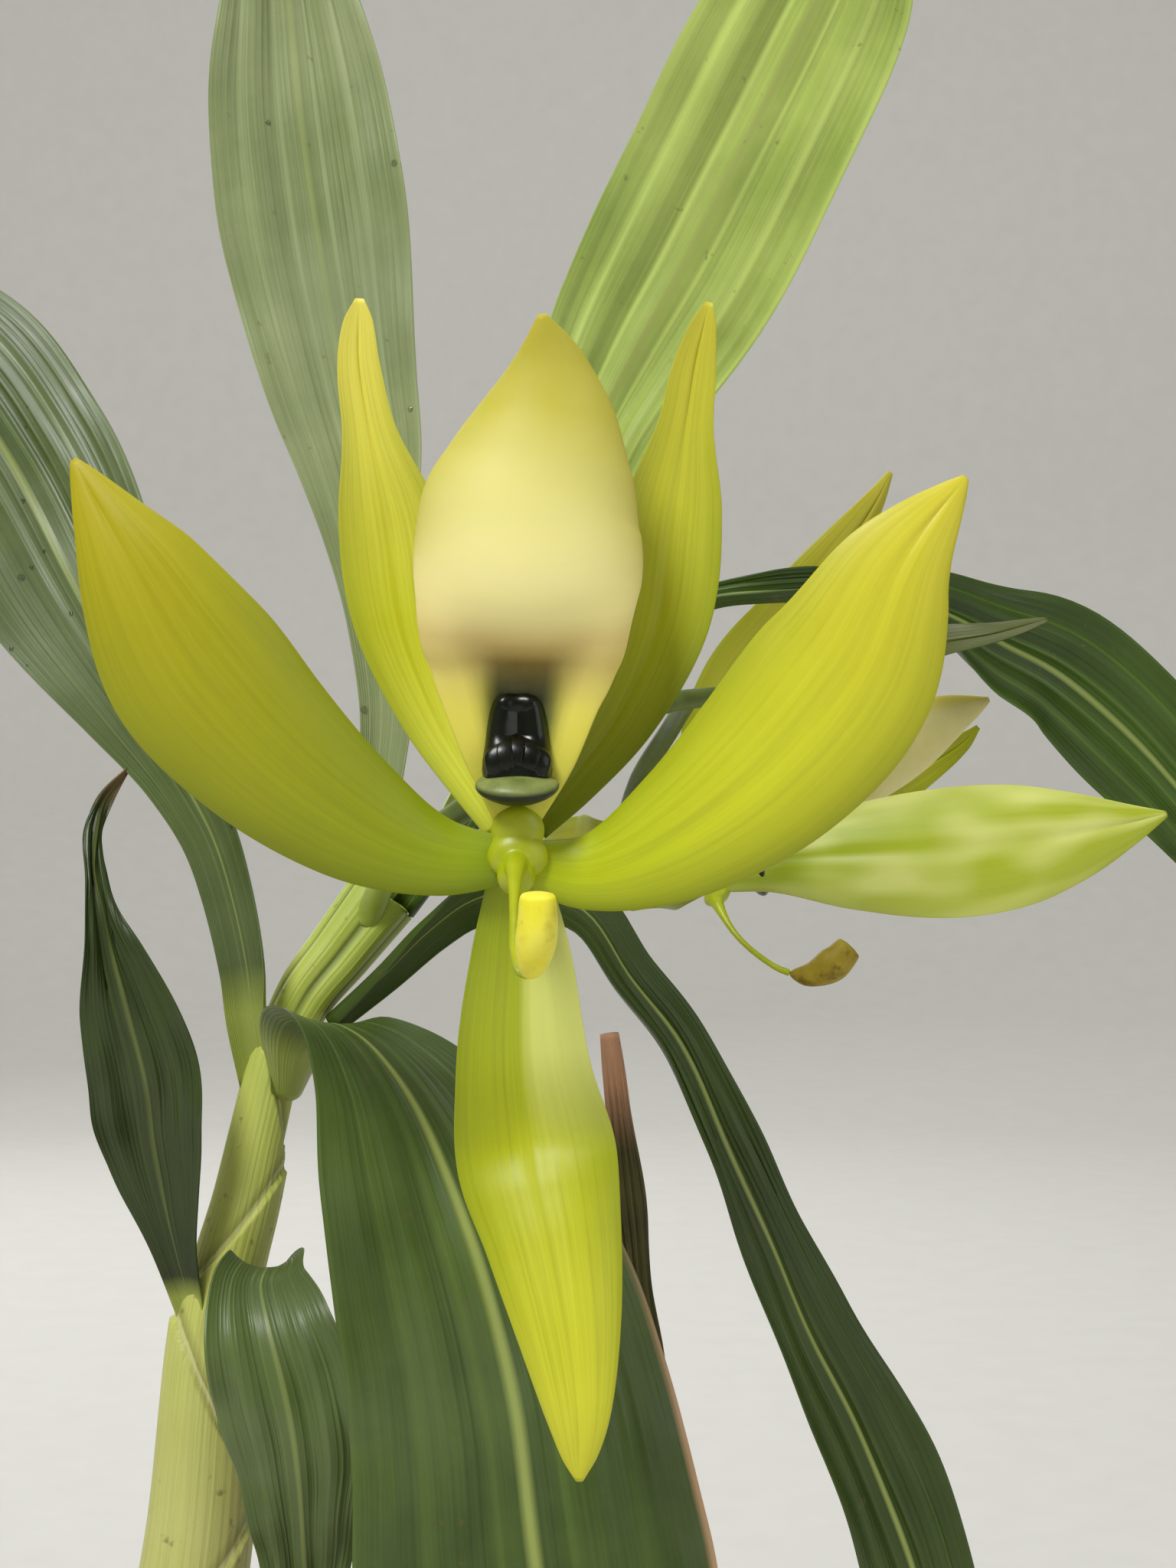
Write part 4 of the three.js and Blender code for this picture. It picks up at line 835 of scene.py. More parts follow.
ORGANS = dict(
    front_flower=dict(
        lip=dict(
            finish=LIP, thick=3, curl=LIP_CURL,
            spine=[[0, 3.6, 1.6], [0.5, 12, 2.6], [0.7, 20.3, 3.2], [0.9, 24, 4.6], [1, 26.5, 6.8],
                [1.1, 29, 9.4], [1.3, 32, 11.6], [1.6, 36, 12.8], [1.9, 42.7, 12.6], [3.2, 50, 11.2],
                [4.2, 57, 10], [4.3, 62.5, 9.8], [3.5, 68, 11]],
            width=[[0, 3], [0.125, 7.6], [0.247, 10.8], [0.304, 12], [0.34, 13], [0.4, 14.2],
                [0.49, 15.6], [0.58, 15.9], [0.668, 15.2], [0.729, 13.6], [0.835, 9.4], [0.916, 5],
                [0.96, 2.6], [1, 0.5]],
        ),
        petal_left=dict(
            finish=SHADED_OLIVE_PETAL, thick=1.4, curl=PETAL_CURL,
            spine=[[-2, -1.5, 1.2], [-9.9, -0.9, 2.2], [-18, 2.4, 5], [-28.8, 10.4, 10],
                [-39.8, 22.7, 14], [-47.7, 36.2, 15], [-55.3, 49.3, 13]],
            width=[[0, 3.4], [0.1, 5.4], [0.25, 8.5], [0.45, 11], [0.62, 11.7], [0.78, 8.6],
                [0.9, 4.4], [0.97, 1.8], [1, 0.5]],
        ),
        petal_right=dict(
            finish=LIT_BRIGHT_PETAL, thick=1.4, curl=PETAL_CURL,
            spine=[[2, -2, 1.2], [9, -2.9, 2.2], [16.9, -0.4, 5], [30, 8.8, 10], [41.6, 22.4, 14],
                [48.5, 36.5, 15], [56.7, 47.1, 13]],
            width=[[0, 3.4], [0.1, 5.4], [0.25, 8.8], [0.45, 11.8], [0.62, 12.2], [0.78, 8.8],
                [0.9, 4.6], [0.97, 1.9], [1, 0.5]],
        ),
        lateral_sepal_left=dict(
            finish=LEFT_SEPAL, thick=1.2, curl=SEPAL_CURL,
            spine=[[-2.1, 3, -2.8], [-5.6, 9, -3.4], [-10.7, 18.1, -4.4], [-14.9, 29.3, -5],
                [-17, 42.6, -6], [-19.8, 55.8, -6], [-21.1, 64.8, -5], [-20.8, 72.6, -3]],
            width=[[0, 2.6], [0.12, 4], [0.3, 5.6], [0.5, 7.2], [0.62, 6.6], [0.76, 3.8], [0.88, 3],
                [0.96, 2.1], [1, 0.6]],
        ),
        lateral_sepal_right=dict(
            finish=RIGHT_SEPAL, thick=1.2, curl=SEPAL_CURL,
            spine=[[1.9, 3, -2.8], [7, 9, -3.4], [13.6, 18.1, -4.4], [18.4, 29.3, -5],
                [20.4, 43.6, -6], [22.2, 55.8, -6], [23.6, 64.8, -5], [25.3, 72.1, -3]],
            width=[[0, 2.6], [0.12, 4], [0.3, 5.6], [0.5, 7.2], [0.64, 6.6], [0.78, 3.9], [0.88, 3.1],
                [0.96, 1.8], [1, 0.5]],
        ),
        dorsal_sepal=dict(
            finish=LOWER_SEPAL, thick=1.3,
            curl=[[0, 0.6], [0.3, 0.5], [0.45, 0.15], [0.6, -0.35], [1, -0.4]],
            spine=[[0.2, -2.1, -2.8], [0.5, -14.3, -4], [0.8, -28.2, -2], [2.5, -40.4, -3],
                [4.8, -50.8, 1], [6.8, -61.9, 5], [8, -72.5, 6], [8.2, -81.4, 4]],
            width=[[0, 4], [0.14, 6.9], [0.33, 9.2], [0.47, 10.6], [0.6, 9.3], [0.75, 7.1],
                [0.88, 4.6], [0.96, 2.4], [1, 0.5]],
        ),
    ),
    right_flower=dict(
        lip=dict(
            finish=FAR_LIP, thick=2.4, facing=(0.3, -0.4, 0.87), curl=LIP_CURL,
            spine=[[3, 2.4, -2.4], [9, 8.2, -3.6], [15, 13, -5], [19.5, 13.8, -5], [24.5, 15, -5],
                [30, 18, -6], [36.5, 22, -7], [42, 25.4, -8], [46.5, 27.8, -8.5]],
            width=[[0, 2.4], [0.1, 3.6], [0.24, 4.4], [0.38, 6.4], [0.5, 8], [0.62, 8.6], [0.74, 7.6],
                [0.85, 5], [0.94, 2.4], [1, 0.5]],
        ),
        petal_left=dict(
            finish=FAR_PETAL, thick=1.3, facing=(0.5, 0, 0.85), curl=[[0, -0.4], [0.5, -0.4], [1, -0.3]],
            spine=[[0, 1.8, 0.8], [1.2, 16, 2], [6, 28.4, 3], [12.8, 38, 4], [20, 49, 5],
                [26, 58.2, 6], [28.7, 63.1, 6]],
            width=[[0, 2.8], [0.12, 5], [0.3, 7.6], [0.5, 8], [0.66, 6.4], [0.8, 4.2], [0.92, 2.2],
                [1, 0.5]],
        ),
        petal_right=dict(
            finish=SHEEN_PETAL, thick=1.3, facing=(0, 0.25, 1), curl=[[0, -0.5], [0.5, -0.35], [1, -0.3]],
            spine=[[1.5, -0.6, 1.2], [10.4, 1.8, 4], [23.7, 3, 8], [39, 3.8, 10], [53.6, 5.7, 10],
                [64.6, 7.6, 8], [72.2, 9.3, 6]],
            width=[[0, 2.8], [0.12, 5], [0.3, 8.6], [0.5, 10.6], [0.66, 10], [0.8, 7], [0.92, 3.2],
                [1, 0.5]],
        ),
        lateral_sepal_left=dict(
            finish=SHADED_FAR_SEPAL, thick=1.1, facing=(-0.3, 0.6, 0.7), curl=[[0, 0.6], [0.5, 0.3], [1, 0.5]],
            spine=[[0.6, 2.9, -2.6], [7.5, 16.5, -5], [19, 29.3, 4], [33, 35, 15], [43, 36.8, 18],
                [51.6, 39.2, 17]],
            width=[[0, 2.2], [0.2, 4], [0.45, 5.4], [0.62, 5], [0.8, 3], [0.93, 1.8], [1, 0.5]],
        ),
        lateral_sepal_right=dict(
            finish=END_SEPAL, thick=1.1, facing=(0.1, -0.4, 0.9), curl=[[0, 0.5], [0.5, 0.3], [1, 0.5]],
            spine=[[1.4, 1.6, -4], [13, 7.4, -11], [26, 12.5, -16], [36.5, 16.6, -19],
                [43, 20.5, -19.5], [46.3, 23.6, -19]],
            width=[[0, 2.2], [0.2, 4.4], [0.45, 6.2], [0.62, 5.6], [0.8, 3.2], [0.93, 1.8], [1, 0.5]],
        ),
        dorsal_sepal=dict(
            finish=END_SEPAL, thick=1.2, facing=(0.8, 0, 0.6), curl=[[0, 0.6], [0.4, 0.4], [1, 0.3]],
            spine=[[-0.5, -1, -3], [-6, -1.5, -10], [-14, -0.5, -20], [-22, 0.5, -30], [-29, 0, -41],
                [-34, -3, -51]],
            width=[[0, 3], [0.15, 5.5], [0.4, 8.2], [0.6, 8], [0.8, 5.4], [0.93, 2.6], [1, 0.5]],
        ),
    ),
)


# %% Flower organs
def in_plant(flower, points):
    """Points of a flower's own frame, moved to where the flower is on the plant."""
    x, y, z = np.moveaxis(np.asarray(points, float), -1, 0)
    return np.stack([x, -z, y], axis=-1) + np.array(flower["centre"])


def direction_in_plant(way):
    return [way[0], -way[2], way[1]]


def organ_relief(name, phase):
    def relief(t, u, half):
        lively = smoothstep(t, 0.05, 0.3) * (1 - smoothstep(t, 0.9, 1))
        midrib = -0.35 * lively * np.exp(-((u / 0.09) ** 2))
        veins = 0.025 * lively * np.cos(9 * math.pi * u) * (1 - u * u)
        margin = 0.25 * lively * u ** 4 * np.sin(15 * t + 2.3 * np.sign(u) + phase)
        if name == "lip":
            fold = np.exp(-(((t - 0.34) / 0.1) ** 2)) * smoothstep(np.abs(u), 0.35, 0.9)
            return 0.6 * margin + 0.5 * veins + 1.6 * fold
        if name == "dorsal_sepal":
            channel_run = smoothstep(t, 0.05, 0.2) * (1 - smoothstep(t, 0.4, 0.5))
            channel = -1.1 * np.exp(-((u / 0.35) ** 2)) * channel_run
            step = 1.3 * smoothstep(t, 0.44, 0.53) * (1 - smoothstep(t, 0.55, 0.85)) * (1 - 0.6 * u * u)
            return midrib + veins + margin + channel + step
        return midrib + veins + margin

    return relief


def make_organ(flower_name, name, shape, phase):
    flower = FLOWERS[flower_name]
    facing = direction_in_plant(shape.get("facing", (0, 0, 1)))
    piece = blade(
        f"fine_{flower_name}_{name}", shape["finish"], in_plant(flower, shape["spine"]),
        [[0, facing], [1, facing]], profile(shape["width"]),
        lambda t, u: shape["thick"] * (1 - 0.45 * u * u) * (1 - 0.35 * t),
        stations=110, columns=40, curl=profile(shape["curl"]), relief=organ_relief(name, phase),
    )
    return settle(piece, f"{flower_name}_{name}")


organ_pieces = []
for flower_name, organs in ORGANS.items():
    for number, (name, shape) in enumerate(organs.items()):
        organ_pieces.append(make_organ(flower_name, name, shape, 1.7 * number))
print("flower organ triangles:", sum(map(triangles, organ_pieces)))

# %% [markdown]
# ## Stems
# A stem is a grid round a curve whose radius may change along it and round it. The neck, the
# cap, the cane and the old bulb are all stems, with small rules of their own for the radius.

# %% Stems
def stem_grid(path, radius, across, steps, sides):
    """Points and faces of a closed stem in millimetres, with its places round and along."""
    t = np.linspace(0, 1, steps + 1)
    angle = np.linspace(0, 2 * math.pi, sides, endpoint=False)
    spots, along = through(path, steps + 1)
    side = unit(np.cross(np.array(across, float), along))
    top = np.cross(along, side)
    r = radius(t[:, None], angle[None, :]) + np.zeros((t.size, sides))
    ring = side[:, None] * np.cos(angle)[None, :, None] + top[:, None] * np.sin(angle)[None, :, None]
    points = (spots[:, None] + ring * r[..., None]).reshape(-1, 3)
    faces = grid_faces(t.size, sides, wrap=True)
    faces.append(tuple(range(sides))[::-1])
    faces.append(tuple(steps * sides + j for j in range(sides)))
    round_place = np.broadcast_to(angle[None, :] / (2 * math.pi), r.shape)
    return points, faces, round_place.ravel(), np.broadcast_to(t[:, None], r.shape).ravel()


def stem(name, finish, path, radius, across, steps, sides):
    points, faces, *places = stem_grid(path, radius, across, steps, sides)
    return mesh_object(name, points, faces, finish, *places)


# %% [markdown]
# ## Callus and column
# The callus is a knob over a lens-shaped ledge, and the column is a short hub from which a
# thin neck dips and turns up, like a swan's. Where such soft lumps grow into each other there
# is no seam. So the rough shapes of the column are joined in one mesh, remeshed into a single
# skin and smoothed, which melts the joins. The knob and the ledge of the callus are joined as
# they are.

# %% Callus and column
def frame_of(up, out, size, centre):
    z = Vector(out).normalized()
    x = Vector(up).cross(z).normalized()
    y = z.cross(x)
    turn = Matrix((x, y, z)).transposed().to_4x4()
    upright = Matrix(((1, 0, 0, 0), (0, 0, -1, 0), (0, 1, 0, 0), (0, 0, 0, 1)))
    return Matrix.Translation(Vector(centre) * MM) @ upright @ turn @ Matrix.Scale(size * MM, 4)


def add_ball(bm, radii, centre, tilt, matrix):
    place = Matrix.Translation(centre) @ Matrix.Rotation(tilt, 4, "X") @ Matrix.Diagonal((*radii, 1))
    bmesh.ops.create_icosphere(bm, subdivisions=4, radius=1, matrix=matrix @ place)


def add_cone(bm, low_radius, high_radius, low, high, matrix):
    place = Matrix.Translation((0, 0, (low + high) / 2))
    bmesh.ops.create_cone(bm, cap_ends=True, segments=48, radius1=low_radius, radius2=high_radius,
                          depth=high - low, matrix=matrix @ place)


def add_grid(bm, points, faces):
    made = [bm.verts.new(Vector(p) * MM) for p in points]
    for face in faces:
        bm.faces.new([made[i] for i in face])


def melted(name, bm, finish, voxel_mm, rounds):
    """One smooth skin over all that bm holds."""
    rough = placed(name + "_rough", bpy.data.meshes.new(name))
    bm.to_mesh(rough.data)
    bm.free()
    remesh = rough.modifiers.new("skin", "REMESH")
    remesh.mode = "VOXEL"
    remesh.voxel_size = voxel_mm * MM
    smooth = rough.modifiers.new("soft", "SMOOTH")
    smooth.iterations = rounds
    smooth.factor = 0.5
    thing = plain_mesh(rough, name)
    thing.data.polygons.foreach_set("use_smooth", [True] * len(thing.data.polygons))
    thing.data.materials.clear()
    thing.data.materials.append(finish)
    return thing


HUB_RADIUS = 3.4
HUB_BACK = 5.2
NECK_RADIUS = profile([[0, 2.4], [0.14, 1.7], [0.28, 1.0], [0.45, 0.66], [0.8, 0.6], [1, 0.7]])
CAP_RADIUS = profile([
    [0, 0.3], [0.05, 0.9], [0.22, 1.9], [0.5, 2.6], [0.8, 2.45], [0.95, 2.25], [0.985, 1.9], [1, 1.0],
])

CALLUS_WIDTH = profile([[0, 4.4], [0.15, 4.5], [0.4, 4.2], [0.7, 3.8], [0.88, 3.3], [0.96, 2.5], [1, 1.2]])
LEDGE_RADII = (5.4, 4.2)
LEDGE_TILT = 0.35
LEDGE_HALF = 2.3
LEDGE_MIDDLE = np.array([0.2, 8.0, 5.4])
KNOB_SPINE = [[0.2, 9.4, 4.9], [0.2, 15, 4.3], [0.2, 20.3, 3.7]]
KNOB_THICKNESS = 5.2
HUB_BALLS = [
    ((4.0, 3.2, 2.0), (0.2, -0.8, 2.6), 0.2), ((3.5, 3.4, 1.8), (0.2, 2.6, 2.4), 0.2),
    ((2.5, 2.8, 1.8), (0, -3.4, 3.6), 0.6),
]


def in_callus(flower, points):
    """Points of the callus's own frame, moved to where it sits on the plant."""
    z = np.array(flower["callus_out"], float)
    z = z / np.linalg.norm(z)
    x = unit(np.cross(np.array(flower["callus_along"], float), z))
    basis = np.stack([x, np.cross(z, x), z])
    return in_plant(flower, flower["size"] * np.asarray(points, float) @ basis)


def callus_relief(t, u, half):
    """A hollow in the upper front, and a bumpy ridge below it."""
    hollow = -1.6 * np.exp(-((u / 0.6) ** 2)) * smoothstep(t, 0.2, 0.5) * (1 - smoothstep(t, 0.8, 1.0))
    ridge = np.exp(-(((t - 0.27 + 0.16 * np.abs(u)) / 0.08) ** 2))
    bumps = ridge * (0.3 + 0.05 * np.sin(17 * u + 1))
    return (hollow + bumps) * (half / 4.5)


def lens_radius(t, angle):
    wide = 1 / np.sqrt((np.cos(angle) / LEDGE_RADII[1]) ** 2 + (np.sin(angle) / LEDGE_RADII[0]) ** 2)
    rising = np.sin(t / 0.6 * math.pi / 2) ** 0.7
    falling = np.cos((t - 0.6) / 0.4 * math.pi / 2) ** 0.5
    swell = np.where(t < 0.6, rising, falling)
    return wide * np.maximum(swell, 0.02)


def cap_lobes(t, angle, swell):
    """How a cap departs from a round spindle: two lobes at its top, and a swollen end."""
    groove = -0.14 * smoothstep(t, 0.6, 1.0) * np.abs(np.cos(angle)) ** 8
    return 1 + 0.05 * np.cos(2 * angle) + groove + swell * smoothstep(t, 0.3, 0.7)


def make_callus(flower_name, flower):
    size = flower["size"]
    origin = in_callus(flower, (0, 0, 0))
    out_way = in_callus(flower, (0, 0, 1)) - origin
    name = f"fine_{flower_name}_callus"
    knob = blade(
        name, CALLUS, in_callus(flower, KNOB_SPINE), [[0, out_way], [1, out_way]],
        lambda t: size * CALLUS_WIDTH(t), lambda t, u: size * KNOB_THICKNESS + 0 * t * u,
        stations=70, columns=56, curl=lambda t: 0 * t, relief=callus_relief,
    )
    rise = LEDGE_HALF * np.array([0, math.cos(LEDGE_TILT), math.sin(LEDGE_TILT)])
    ledge = stem(
        "ledge", LEDGE, in_callus(flower, [LEDGE_MIDDLE - rise, LEDGE_MIDDLE + rise]),
        lambda t, angle: size * lens_radius(t, angle), in_callus(flower, (1, 0, 0)) - origin,
        steps=40, sides=72,
    )
    return settle(outward(joined(name, [knob, ledge])), f"{flower_name}_callus")


def make_column(flower_name, flower, across):
    bm = bmesh.new()
    place = frame_of(flower["hub_up"], flower["hub_out"], flower["size"], flower["centre"])
    add_cone(bm, HUB_RADIUS - 1, HUB_RADIUS, -HUB_BACK, 3, place)
    for radii, centre, tilt in HUB_BALLS:
        add_ball(bm, radii, centre, tilt, place)
    points, faces, _, _ = stem_grid(
        in_plant(flower, flower["neck"]), lambda t, angle: flower["size"] * NECK_RADIUS(t), across,
        steps=60, sides=24,
    )
    add_grid(bm, points, faces)
    column = melted(f"fine_{flower_name}_column", bm, COLUMN, voxel_mm=0.22, rounds=9)
    return settle(column, f"{flower_name}_column")


def make_cap(flower_name, flower, across):
    def radius(t, angle):
        return flower["size"] * CAP_RADIUS(t) * cap_lobes(t, angle, flower["cap_swell"])

    cap = stem(f"fine_{flower_name}_anther_cap", CAPS[flower_name], in_plant(flower, flower["cap"]), radius,
               across, steps=48, sides=40)
    return settle(cap, f"{flower_name}_anther_cap")


for flower_name, flower in FLOWERS.items():
    across = direction_in_plant(flower["across"])
    callus = make_callus(flower_name, flower)
    column = make_column(flower_name, flower, across)
    make_cap(flower_name, flower, across)
    print(flower_name, "callus and column triangles:", triangles(callus), triangles(column))

# %% [markdown]
# ## Cane and old bulb
# The cane is a slim bulb wrapped in papery sheaths that end in slanting pale edges. The old
# bulb beside it has lost its leaves: its skin is brown, wrinkled lengthwise and ringed where
# the leaves fell, with rags of a dry sheath round its middle.

# %% Cane and bulb finishes
CANE_PATH = [
    [-43, 0, 72], [-38, 0, 120], [-31, 0, 160], [-25.5, 0, 192], [-22, 0, 229], [-18, 0, 245],
    [-15.3, 0, 257], [-12.5, 0, 268], [-8.5, 0.5, 276.5], [-3.5, 2, 283], [3, 4, 291.5],
]
CANE_RADIUS = profile([
    [0, 6], [0.14, 9], [0.32, 9.2], [0.5, 7.8], [0.66, 6.9], [0.78, 5.9], [0.86, 5.6], [0.93, 6.3],
    [1, 7.2],
])
SHEATHS = [(0.36, 0.4, 0.05), (0.5, 3.4, 0.055), (0.63, 0.2, 0.055), (0.745, 3.2, 0.05), (0.84, 0.5, 0.04)]
SHEATH_STEP = 0.7
CANE_FOLDS = 2.5
FOLD_TURN = 0.6


def build_cane(t):
    around, along = t.growth()
    body = t.ramp(along, (0.0, (170, 158, 104)), (0.25, (182, 178, 104)), (0.6, (190, 192, 104)),
                  (0.8, (200, 210, 92)), (1.0, (160, 180, 56)))
    streak = t.group(STREAKS, Count=110.0, Length=5.0)
    patch = t.group(MOTTLE, Scale=60.0, Detail=5.0)
    colour = t.mix(t.level(streak, 0.42, 0.68, 0.0, 0.4), body, (140, 146, 66))
    colour = t.mix(t.times(patch, 0.2), colour, (222, 220, 150))
    # Painted shade: the grooves between the folds near the top of the cane are darkened.
    fold = t.math("ABSOLUTE", t.math("SINE", t.plus(t.times(around, 2 * math.pi * CANE_FOLDS), FOLD_TURN)))
    fold_shade = t.times(t.level(fold, 0.45, 0.1), t.level(along, 0.84, 0.92))
    colour = t.mix(t.times(fold_shade, 0.75), colour, (82, 100, 24))
    spot = t.level(t.noise(t.place(), 300.0, 2.0), 0.66, 0.74, 0.0, 0.6)
    colour = t.mix(spot, colour, (96, 80, 44))
    fray = t.times(t.noise(t.stretched(16, 8), 1.0, 3.0), 0.004)
    for top, turn, slant in SHEATHS:
        angle = t.minus(t.times(around, 2 * math.pi), turn)
        edge = t.minus(top + 0.004, t.times(t.math("COSINE", angle), slant))
        past = t.minus(t.plus(along, fray), edge)
        # Painted shadow: a dark line just above each sheath's pale edge.
        colour = t.mix(t.band(past, 0.005, 0.007, 0.007, 0.02, 0.5), colour, (96, 98, 40))
        rim = t.band(past, 0.0, 0.002, 0.004, 0.006)
        colour = t.mix(t.times(rim, 0.8), colour, (204, 200, 150))
    return skin(colour, t.level(streak, 0.3, 0.7, 0.4, 0.6), t.bump(streak, 0.35, 0.3))


def build_old_bulb(t):
    streak = t.group(STREAKS, Count=36.0, Length=4.0)
    patch = t.group(MOTTLE, Scale=70.0, Detail=6.0)
    _, along = t.growth()
    colour = t.mix(patch, (58, 56, 24), (100, 98, 48))
    colour = t.mix(t.level(streak, 0.45, 0.7, 0.0, 0.5), colour, (120, 106, 66))
    colour = t.mix(t.level(along, 0.9, 0.96), colour, (196, 146, 112))
    return skin(colour, t.between(patch, 0.55, 0.8), t.bump(streak, 0.8, 0.8))


def build_paper(t):
    streak = t.group(STREAKS, Count=60.0, Length=4.0)
    patch = t.group(MOTTLE, Scale=90.0, Detail=6.0)
    colour = t.mix(patch, (122, 106, 78), (176, 162, 128))
    colour = t.mix(t.level(streak, 0.42, 0.66, 0.0, 0.7), colour, (92, 76, 52))
    return skin(colour, t.between(streak, 0.7, 0.95), t.bump(streak, 0.7, 0.5))


CANE = finish_material("cane sheaths", build_cane, Coat_Weight=0.08, Coat_Roughness=0.4)
OLD_BULB = finish_material("old bulb", build_old_bulb)
PAPER = finish_material("dry paper", build_paper)

# %% Cane
def cane_radius(t, angle):
    r = CANE_RADIUS(t)
    for top, turn, slant in SHEATHS:
        edge = top - slant * np.cos(angle - turn)
        r = r + SHEATH_STEP * (smoothstep(edge - t, -0.001, 0.001) - 0.5)
    ribs = 0.04 * np.cos(34 * angle + 6 * t) + 0.03 * np.cos(53 * angle - 9 * t)
    folds = 1.1 * smoothstep(t, 0.84, 0.95) * (np.abs(np.sin(CANE_FOLDS * angle + FOLD_TURN)) - 0.6)
    return r + ribs + folds


cane = stem("fine_leafy_cane", CANE, CANE_PATH, cane_radius, (0, 1, 0), steps=420, sides=136)
settle(cane, "leafy_cane")
print("cane triangles:", triangles(cane))

# %% Old bulb and its dry sheath
OLD_BULB_PATH = [
    [35, 20, 74], [38, 21, 110], [42, 23, 150], [44.5, 25, 200], [43, 25.5, 228], [41, 25.5, 247],
    [38.5, 25, 268],
]
OLD_BULB_RADIUS = profile([[0, 6], [0.22, 9], [0.42, 8], [0.6, 4.6], [0.78, 2.4], [0.94, 2.1], [1, 1.2]])
OLD_BULB_RINGS = 7


def old_bulb_radius(t, angle):
    ring = 0.35 * np.cos(2 * math.pi * OLD_BULB_RINGS * t)
    wrinkles = 0.3 * np.cos(11 * angle + 3 * np.sin(9 * t)) + 0.2 * np.cos(19 * angle - 5 * t)
    return OLD_BULB_RADIUS(t) + ring + wrinkles * smoothstep(t, 0, 0.1) * (1 - smoothstep(t, 0.9, 1))


old_bulb = stem("fine_old_bulb", OLD_BULB, OLD_BULB_PATH, old_bulb_radius, (0, 1, 0), steps=240, sides=110)
settle(old_bulb, "old_bulb")


# Where the sheath starts and how far it runs on the bulb, its half angle round it, and its clearance
SHEATH_FOOT = 0.28
SHEATH_RUN = 0.27
SHEATH_REACH = 1.9
SHEATH_CLEAR = 1.4


def make_dry_sheath():
    stations, columns = 60, 70
    rows = []
    curve, _ = through(OLD_BULB_PATH, 601)
    for i in range(stations + 1):
        s = i / stations
        row = []
        for j in range(columns + 1):
            u = 2 * j / columns - 1
            ragged = 0.03 * math.cos(5 * u) + 0.018 * math.sin(17 * u) + 0.012 * math.sin(41 * u + 1)
            t = SHEATH_FOOT + SHEATH_RUN * s + ragged * s
            centre = curve[int(t * 600)]
            angle = -math.pi / 2 + SHEATH_REACH * u + 0.05 * math.sin(23 * s)
            r = float(OLD_BULB_RADIUS(np.array(t))) + SHEATH_CLEAR + 1.6 * s * s
            r += 0.5 * math.sin(7 * u + 2 * s) + 0.12 * math.sin(60 * u)
            row.append((centre[0] + r * math.cos(angle), centre[1] + r * math.sin(angle), centre[2]))
        rows.append(row)
    across = np.linspace(0, 1, columns + 1)[None, :]
    along = np.linspace(0, 1, stations + 1)[:, None]
    return outward(shell("fine_dry_sheath", np.array(rows), 0.2, across, along, PAPER))


dry_sheath = settle(make_dry_sheath(), "dry_sheath")
print("old bulb and sheath triangles:", triangles(old_bulb), triangles(dry_sheath))

# %% [markdown]
# ## Flower stalk
# One arching stalk leaves the leaf bases and carries a curved stalk to each flower. It follows
# a path, so it is made by a node tree that sweeps a round profile along a curve. Its named
# inputs are the radius at both ends and the number of sides. The tree ends in a plain mesh
# with its material, and the three stalks are then melted into one skin, as they grow.

# %% Flower stalk
def build_stalk(t):
    patch = t.group(MOTTLE, Scale=120.0, Detail=5.0)
    colour = t.mix(patch, (58, 74, 22), (98, 114, 44))
    spots = t.node("ShaderNodeSeparateXYZ", {0: t.place()}).outputs
    foot = t.times(t.fall(spots[2], 0.294, 0.3), t.fall(spots[0], 0.008, 0.012))
    colour = t.mix(foot, colour, t.mix(patch, (140, 156, 56), (182, 194, 92)))
    return skin(colour, t.between(patch, 0.38, 0.55), t.bump(patch, 0.25, 0.3))


STALK = finish_material("stalk green", build_stalk, Coat_Weight=0.1, Coat_Roughness=0.35)


def geometry_tree(name, **inputs):
    """A new node tree with a geometry and the named inputs, and what these inputs give."""
    tree = bpy.data.node_groups.new(name, "GeometryNodeTree")
    tree.interface.new_socket("Geometry", in_out="INPUT", socket_type="NodeSocketGeometry")
    for label, kind in inputs.items():
        tree.interface.new_socket(label.replace("_", " "), in_out="INPUT", socket_type="NodeSocket" + kind)
    tree.interface.new_socket("Geometry", in_out="OUTPUT", socket_type="NodeSocketGeometry")
    return Tree(tree), tree.nodes.new("NodeGroupInput").outputs


def end_tree(t, geometry, finish):
    """Ends a tree in a real mesh with its finish."""
    real = t.first("GeometryNodeRealizeInstances", {"Geometry": geometry})
    done = t.first("GeometryNodeSetMaterial", {"Geometry": real, "Material": finish})
    t.node("NodeGroupOutput", {0: done})
    return t.tree


def sweep_tree():
    """A node tree that sweeps a tapering round stem along the curve it is put on."""
    t, given = geometry_tree("tapering stem", Start_radius="Float", End_radius="Float", Sides="Int",
                             Finish="Material")
    along = t.node("GeometryNodeSplineParameter").outputs["Factor"]
    ends = {0: along, 3: given["Start radius"], 4: given["End radius"]}
    radius = t.first("ShaderNodeMapRange", ends)
    path = t.first("GeometryNodeSetCurveRadius", {"Curve": given["Geometry"], "Radius": radius})
    ring = t.first("GeometryNodeCurvePrimitiveCircle", {"Resolution": given["Sides"], "Radius": 1.0})
    curves = {"Curve": path, "Profile Curve": ring, "Scale": radius, "Fill Caps": True}
    return end_tree(t, t.first("GeometryNodeCurveToMesh", curves), given["Finish"])


def grown(thing, tree, name, **values):
    """The plain mesh that a node tree makes of an object, with its inputs set by name."""
    modifier = thing.modifiers.new(tree.name, "NODES")
    modifier.node_group = tree
    given = (item for item in tree.interface.items_tree if item.in_out == "INPUT")
    identifiers = {item.name: item.identifier for item in given}
    for label, value in values.items():
        modifier[identifiers[label.replace("_", " ")]] = value
    return plain_mesh(thing, name)


